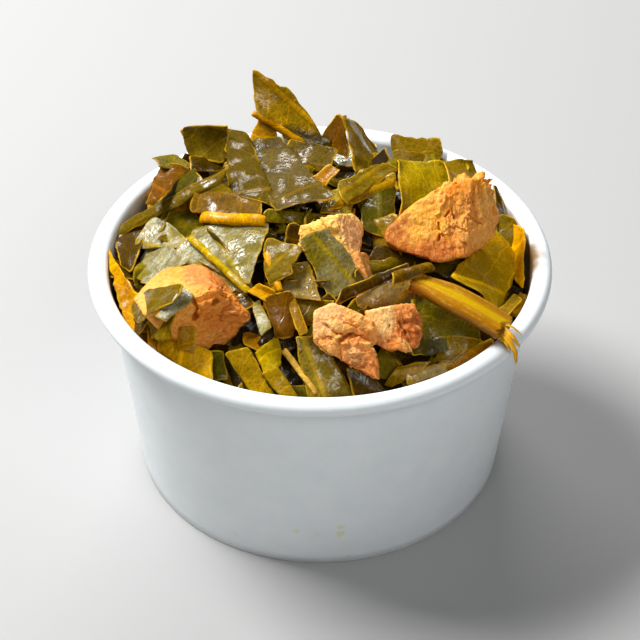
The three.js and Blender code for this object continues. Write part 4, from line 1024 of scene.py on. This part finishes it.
# Lump over the six faces of a cube drawn out to a sphere: its reach is a blunt meeting of flat sides,
# 1 / (sum of (direction . side / distance) ^ blunt) ^ (1 / blunt), plus two sizes of flakes drawn out
# along the grain where it is torn, fine fibres, peaks, and cracks along short lines between directions
def hamLump(chunk):
    k = np.linspace(-1, 1, chunk["grid"] + 1)
    a, b = np.meshgrid(np.tan(k * np.pi / 4), np.tan(k * np.pi / 4), indexing="ij")
    one = np.ones_like(a)
    sides = [(one, a, b), (-one, b, a), (b, one, a), (a, -one, b), (a, b, one), (b, a, -one)]
    way = np.concatenate([np.stack(side, -1).reshape(-1, 3) for side in sides])
    way = unit(way)
    square = gridFaces(chunk["grid"] + 1, chunk["grid"] + 1)
    faces = np.concatenate([square + n * (chunk["grid"] + 1) ** 2 for n in range(6)])
    seed = chunk["seed"]
    bent = way + 0.05 * (np.stack([noiseAt(way * 5, seed + n) for n in (50, 51, 52)], -1) - 0.5)
    total = 0
    for degrees, slope, distance in chunk["faces"]:
        total = total + np.maximum(0, bent @ heading(degrees, slope) / distance) ** meat["blunt"]
    reach = total ** (-1 / meat["blunt"])
    grain = heading(*chunk["grain"])
    side = unit(np.cross(grain, (0, 0, 1)))
    over = np.cross(side, grain)
    place = way * reach[:, None]
    frame = np.stack([place @ grain, place @ side, place @ over], -1)
    shaken = frame + 0.7 * (np.stack([noiseAt(place * 0.9, seed + n) for n in (60, 61, 62)], -1) - 0.5)
    rough = layeredNoise(place * 0.9, seed + 30) - 0.5

    def nearTo(degrees, slope):
        return np.degrees(np.arccos(np.clip(way @ heading(degrees, slope), -1, 1)))

    torn = np.zeros(len(way))
    for degrees, slope, spread in chunk["torn"]:
        torn = np.maximum(torn, smooth(spread * 1.2, spread * 0.7, nearTo(degrees, slope) + 16 * rough))
    large, largeGap = flakesAt(shaken * np.array([0.16, 0.4, 0.75]), seed + 3)
    small, smallGap = flakesAt(shaken * np.array([0.45, 1.0, 1.7]), seed + 9)
    fibres = ridged(shaken * np.array([0.9, 1.9, 2.4]), seed + 5)
    lumps = layeredNoise(place * 0.42, seed + 40) - 0.5
    strong = lerp(0.05, 1.0, torn)
    relief = meat["large"] * strong * large + meat["small"] * lerp(0.3, 1, torn) * small
    relief = relief + meat["fibre"] * (fibres - 0.7) + 0.3 * rough + 0.4 * lumps
    split = np.zeros(len(way))
    for degreesA, slopeA, degreesB, slopeB, width, depth in chunk["cracks"]:
        start, end = heading(degreesA, slopeA), heading(degreesB, slopeB)
        t = np.clip((way - start) @ (end - start) / np.sum((end - start) ** 2), 0, 1)
        far = np.linalg.norm(way - start - t[:, None] * (end - start), axis=-1) + 0.06 * rough
        split = np.maximum(split, smooth(width, width * 0.15, far) * depth)
    relief = relief - split
    for degrees, slope, spread, height in chunk.get("peaks", []):
        relief = relief + height * np.clip(1 - (nearTo(degrees, slope) + 6 * small) / spread, 0, 1)
    points = way * (reach + relief)[:, None] + np.array(chunk["at"])
    tone = np.tile(linear(chunk["base"]), (len(way), 1))
    # Patches by direction: partly the meat's own colour, partly painted light on faces turned towards the lamp and
    # painted shade on faces turned away
    for degrees, slope, spread, colour in chunk["toneAndShadingPatches"]:
        share = smooth(spread * 1.25, spread * 0.7, nearTo(degrees, slope) + 30 * rough)[:, None]
        tone = lerp(tone, linear(colour), share)
    # Crest value: high on the flakes' crests for painted highlights, low in the gaps and cracks for painted shade
    gaps = strong * smooth(meat["sharp"] * 2.5, 0, largeGap) + 0.5 * torn * smooth(meat["sharp"] * 2.5, 0, smallGap)
    crest = 0.58 + 0.45 * strong * large + 0.3 * small + 0.5 * (fibres - 0.7) - 0.3 * gaps
    crest = crest - 0.9 * np.minimum(1, split)
    return points, faces, {"meatTone": tone, "crest": np.clip(crest, 0, 1), "meatSpot": frame}


# Ham: its tone, with painted shade in the gaps and cracks and painted highlights on the crests of the flakes, with
# pores
def makeMeatSkin():
    material, shader, place = newMaterial("ham")
    drawn = node(place.tree, "Mapping", {"Vector": attribute(place, "meatSpot", "Vector"), "Scale": (0.6, 1.5, 1.5)})
    strands = drawn.noise(1.5, 5, 0.65)
    crumbs = place.noise(380, 5, 0.7)
    speck = place.noise(1300, 3, 0.65)
    # Painted shade where the crest value is low and painted highlights where it is high
    level = attribute(place, "crest") * 0.5 + strands * 0.25 + crumbs * 0.3
    colour = mix(level.soft(0.47, 0.26, 0, 0.7), attribute(place, "meatTone", "Color"), linear(meat["creviceShade"]))
    colour = mix(level.soft(0.56, 0.78, 0, 0.6), colour, linear(meat["crest"]))
    pores = mix(1.0, colour, (0.72, 0.58, 0.42), "MULTIPLY")
    dry, wet = meat["dryRoughness"], meat["wetRoughness"]
    film = placeGroup(wetFilm, {"Place": place, "Dry": dry, "Wet": wet, "Beads": 0.3})
    fill(shader, {
        "Base Color": mix(speck.soft(0.52, 0.34, 0, 0.65), colour, pores),
        "Roughness": film["Roughness"],
        "Specular IOR Level": 0.3,
        "Normal": (crumbs * 2.2 + (strands + speck * 1.1)).bump(0.7, 0.0004),
        "Subsurface Weight": 0.18,
        "Subsurface Radius": (1.0, 0.5, 0.15),
        "Subsurface Scale": 0.0012,
    })
    return material


# Joins points that lie on each other, so that seams close
def weld(piece):
    work = bmesh.new()
    work.from_mesh(piece.data)
    bmesh.ops.remove_doubles(work, verts=work.verts, dist=1e-7)
    work.to_mesh(piece.data)
    work.free()


# Every chunk as a piece, its six sides welded
def makeHam():
    skin = makeMeatSkin()
    chunks = {
        "hamLeft": hamLeft, "hamMiddle": hamMiddle, "hamMiddleBit": hamMiddleBit, "hamRight": hamRight,
        "hamFrontLeft": hamFrontLeft, "hamFrontLobe": hamFrontLobe, "hamFrontRight": hamFrontRight,
    }
    for name, chunk in chunks.items():
        points, faces, values = hamLump(chunk)
        piece = addPiece(name, points, faces, skin, chunk["node"], values)
        weld(piece)
        print(name, 2 * len(faces), "triangles")


stalk = {
    "from": (18.5, -19.5, 60),
    "to": (36.5, -27, 54.2),
    "width": 7.6,
    "depth": 3.8,
    "dish": 0.5,
    "arch": 0.7,
    "along": 150,
    "around": 72,
    "string": 0.05,         # height of the long strings in mm
    "fray": 1.8,            # how unevenly the ends are torn
    "shreds": [
        (0.8, [(35.5, -27.5, 53.8), (37.6, -30.4, 53.2), (38.8, -31.9, 51.6), (39, -32.4, 49)]),
        (0.6, [(36, -26.5, 53.9), (38.2, -29.2, 53.6), (39.8, -30.4, 51.8)]),
        (0.35, [(35, -28.6, 53.6), (37.0, -31.0, 53.0), (37.6, -31.8, 51.6)]),
        (0.3, [(35.2, -25.8, 54.4), (38.4, -27.6, 54.6), (40.2, -29.0, 53.6)]),
    ],
    "bands": [(-1.0, (124, 76, 2)), (-0.7, (160, 104, 2)), (-0.36, (168, 112, 2)), (-0.08, (196, 154, 2)),
              (0.18, (192, 150, 2)), (0.46, (152, 100, 2)), (0.78, (162, 108, 2)), (1.0, (112, 70, 2))],
    "deep": (120, 66, 8),
    "bright": (244, 208, 90),
}


# Trough along a straight line with an arch: an oval section, dished above, thinner at both ends, with
# strings along it as ridges of noise and ends torn back unevenly
def stalkSurface():
    start, end = np.array(stalk["from"], float), np.array(stalk["to"], float)
    way = unit(end - start)
    side = unit(np.cross((0, 0, 1), way))
    top = np.cross(way, side)
    f = np.linspace(0, 1, stalk["along"])[:, None]
    a = np.linspace(0, 2 * np.pi, stalk["around"], endpoint=False)[None, :]
    taper = lerp(0.62, 1, smooth(0, 0.45, f))
    strings = ridged(np.stack([f * 1.4 + 0 * a, 5.2 * np.cos(a) + 0 * f, 5.2 * np.sin(a) + 0 * f], -1), 61)
    grow = stalk["string"] * (strings - 0.6) * 2
    sideways = np.cos(a) * (stalk["width"] * taper / 2 + grow)
    hollow = np.where(np.sin(a) > 0, stalk["dish"] * np.sin(a), 0)
    upward = np.sin(a) * ((stalk["depth"] / 2) * (1 - hollow) + grow)
    fray = stalk["fray"] * (layeredNoise(np.stack([2.5 * np.cos(a), 2.5 * np.sin(a), 0 * a], -1), 62) - 0.5) * 2
    ends = (smooth(0.75, 1, f) * fray + smooth(0.25, 0, f) * fray * 0.6)
    closing = np.sqrt(np.clip(1 - np.maximum(0, (np.abs(2 * f - 1) - 0.97) / 0.03) ** 2, 0.0004, 1))
    centre = start + (end - start) * f[..., None] + top * (stalk["arch"] * np.sin(np.pi * f))[..., None]
    points = centre + side * (sideways * closing)[..., None] + top * (upward * closing)[..., None]
    points = points + way * ends[..., None]
    caps = [points[0].mean(0), points[-1].mean(0)]
    rows, columns = stalk["along"], stalk["around"]
    first, last = [np.repeat([cap], columns, 0) for cap in caps]
    points = np.concatenate([first, points.reshape(-1, 3), last])
    faces = gridFaces(rows + 2, columns, wrap=True)

    def capped(values, first, last):
        return np.concatenate([np.full(columns, first), (values + 0 * f + 0 * a).ravel(), np.full(columns, last)])

    across = capped(np.cos(a), 0.0, 0.0)
    tone = np.stack([np.interp(across, [at for at, _ in stalk["bands"]],
                               [linear(colour)[n] for _, colour in stalk["bands"]]) for n in range(3)], -1)
    tipped = capped(smooth(0.16, 0, f), 0.0, 1.0)[:, None]
    return points, faces, {"string": capped(strings, 0.5, 0.5), "upper": capped(np.sin(a), 0.0, 0.0),
                           "stalkTone": lerp(tone, linear(stalk["deep"]), 0.75 * tipped)}


# Thin tube along a smooth path through a few points, tapering to its end, closed by points at both ends
def shredSurface(radius, marks):
    marks = np.array(marks, float)
    t = np.linspace(0, len(marks) - 1, 40)
    path = np.stack([np.interp(t, np.arange(len(marks)), marks[:, axis]) for axis in range(3)], -1)
    kernel = np.hanning(13) / np.hanning(13).sum()
    padded = np.pad(path, ((6, 6), (0, 0)), mode="edge")
    path = np.stack([np.convolve(padded[:, axis], kernel, "valid") for axis in range(3)], -1)
    way = unit(np.gradient(path, axis=0))
    side = unit(np.cross(way, (0, 0, 1)))
    over = np.cross(side, way)
    f = np.linspace(0, 1, 40)[:, None]
    size = radius * (1 - 0.6 * f) * np.sqrt(np.clip(1 - (2 * f - 1) ** 12, 0.0001, 1))
    a = np.linspace(0, 2 * np.pi, 16, endpoint=False)[None, :]
    size = size * (0.8 + 0.3 * np.sin(3 * a + 4 * f))
    points = path[:, None] + side[:, None] * (size * np.cos(a))[..., None]
    points = points + over[:, None] * (size * np.sin(a))[..., None]
    values = {"string": 0.5 + 0.3 * np.sin(3 * a + 0 * f).ravel(), "upper": np.zeros(40 * 16),
              "stalkTone": np.tile(linear((214, 160, 20)), (40 * 16, 1))}
    return points.reshape(-1, 3), gridFaces(40, 16, wrap=True), values


# Stalk: its bands of colour, darker between the strings and lighter on them, under a wet film
def makeStalkSkin():
    material, shader, place = newMaterial("yellowStalk")
    fine = place.noise(900, 3, 0.6)
    level = attribute(place, "string") * 0.7 + fine * 0.3
    tone = attribute(place, "stalkTone", "Color")
    deep = mix(1.0, tone, (0.6, 0.42, 0.3), "MULTIPLY")
    colour = mix(level.soft(0.6, 0.35, 0, 0.55), tone, deep)
    film = placeGroup(wetFilm, {"Place": place, "Dry": 0.32, "Wet": 0.18, "Beads": 0.35})
    fill(shader, {
        "Base Color": mix(level.soft(0.75, 0.95, 0, 0.4), colour, linear(stalk["bright"])),
        "Roughness": film["Roughness"],
        "Specular IOR Level": film["Film"].soft(0.0, 1.0, 0.2, 0.6),
        "Normal": (fine + attribute(place, "upper")).bump(0.25, 0.0003),
        "Subsurface Weight": 0.25,
        "Subsurface Radius": (1.0, 0.8, 0.1),
        "Subsurface Scale": 0.0015,
    })
    return material


# The stalk and each of its shreds as a piece
def makeStalk():
    skin = makeStalkSkin()
    points, faces, values = stalkSurface()
    addPiece("splitStalk", points, faces, skin, "leaf_stalk", values)
    for n, (radius, marks) in enumerate(stalk["shreds"]):
        points, faces, values = shredSurface(radius, marks)
        addPiece("stalkShred%d" % (n + 1), points, faces[:, ::-1], skin, "leaf_stalk", values)
    print("stalk ready")


makeStudio()
makeCup()
makeCore()
seed = 0
groups = {
    "backLeaves": backLeaves, "leftLeaves": leftLeaves, "middleLeaves": middleLeaves,
    "hamLeaves": hamLeaves, "rightLeaves": rightLeaves, "frontLeaves": frontLeaves, "smallLeaves": smallLeaves,
}
for name, leaves in groups.items():
    sheets = []
    for leaf in leaves.values():
        seed += 1
        sheets.append(leafSheet(leafOf(*leaf), seed, leafShape["spacing"]))
    joinSheets(name, sheets)
far = [leafSheet(farLeaf(i), farLeaves["seed"] + i, farLeaves["spacing"]) for i in range(farLeaves["count"])]
joinSheets("farLeaves", far)
every = [leafSheet(scrapLeaf(i), scraps["seed"] + i, scraps["spacing"]) for i in range(scraps["count"])]
half = len(every) // 2
joinSheets("innerScraps", every[:half])
joinSheets("outerScraps", every[half:])
makeHam()
makeStalk()
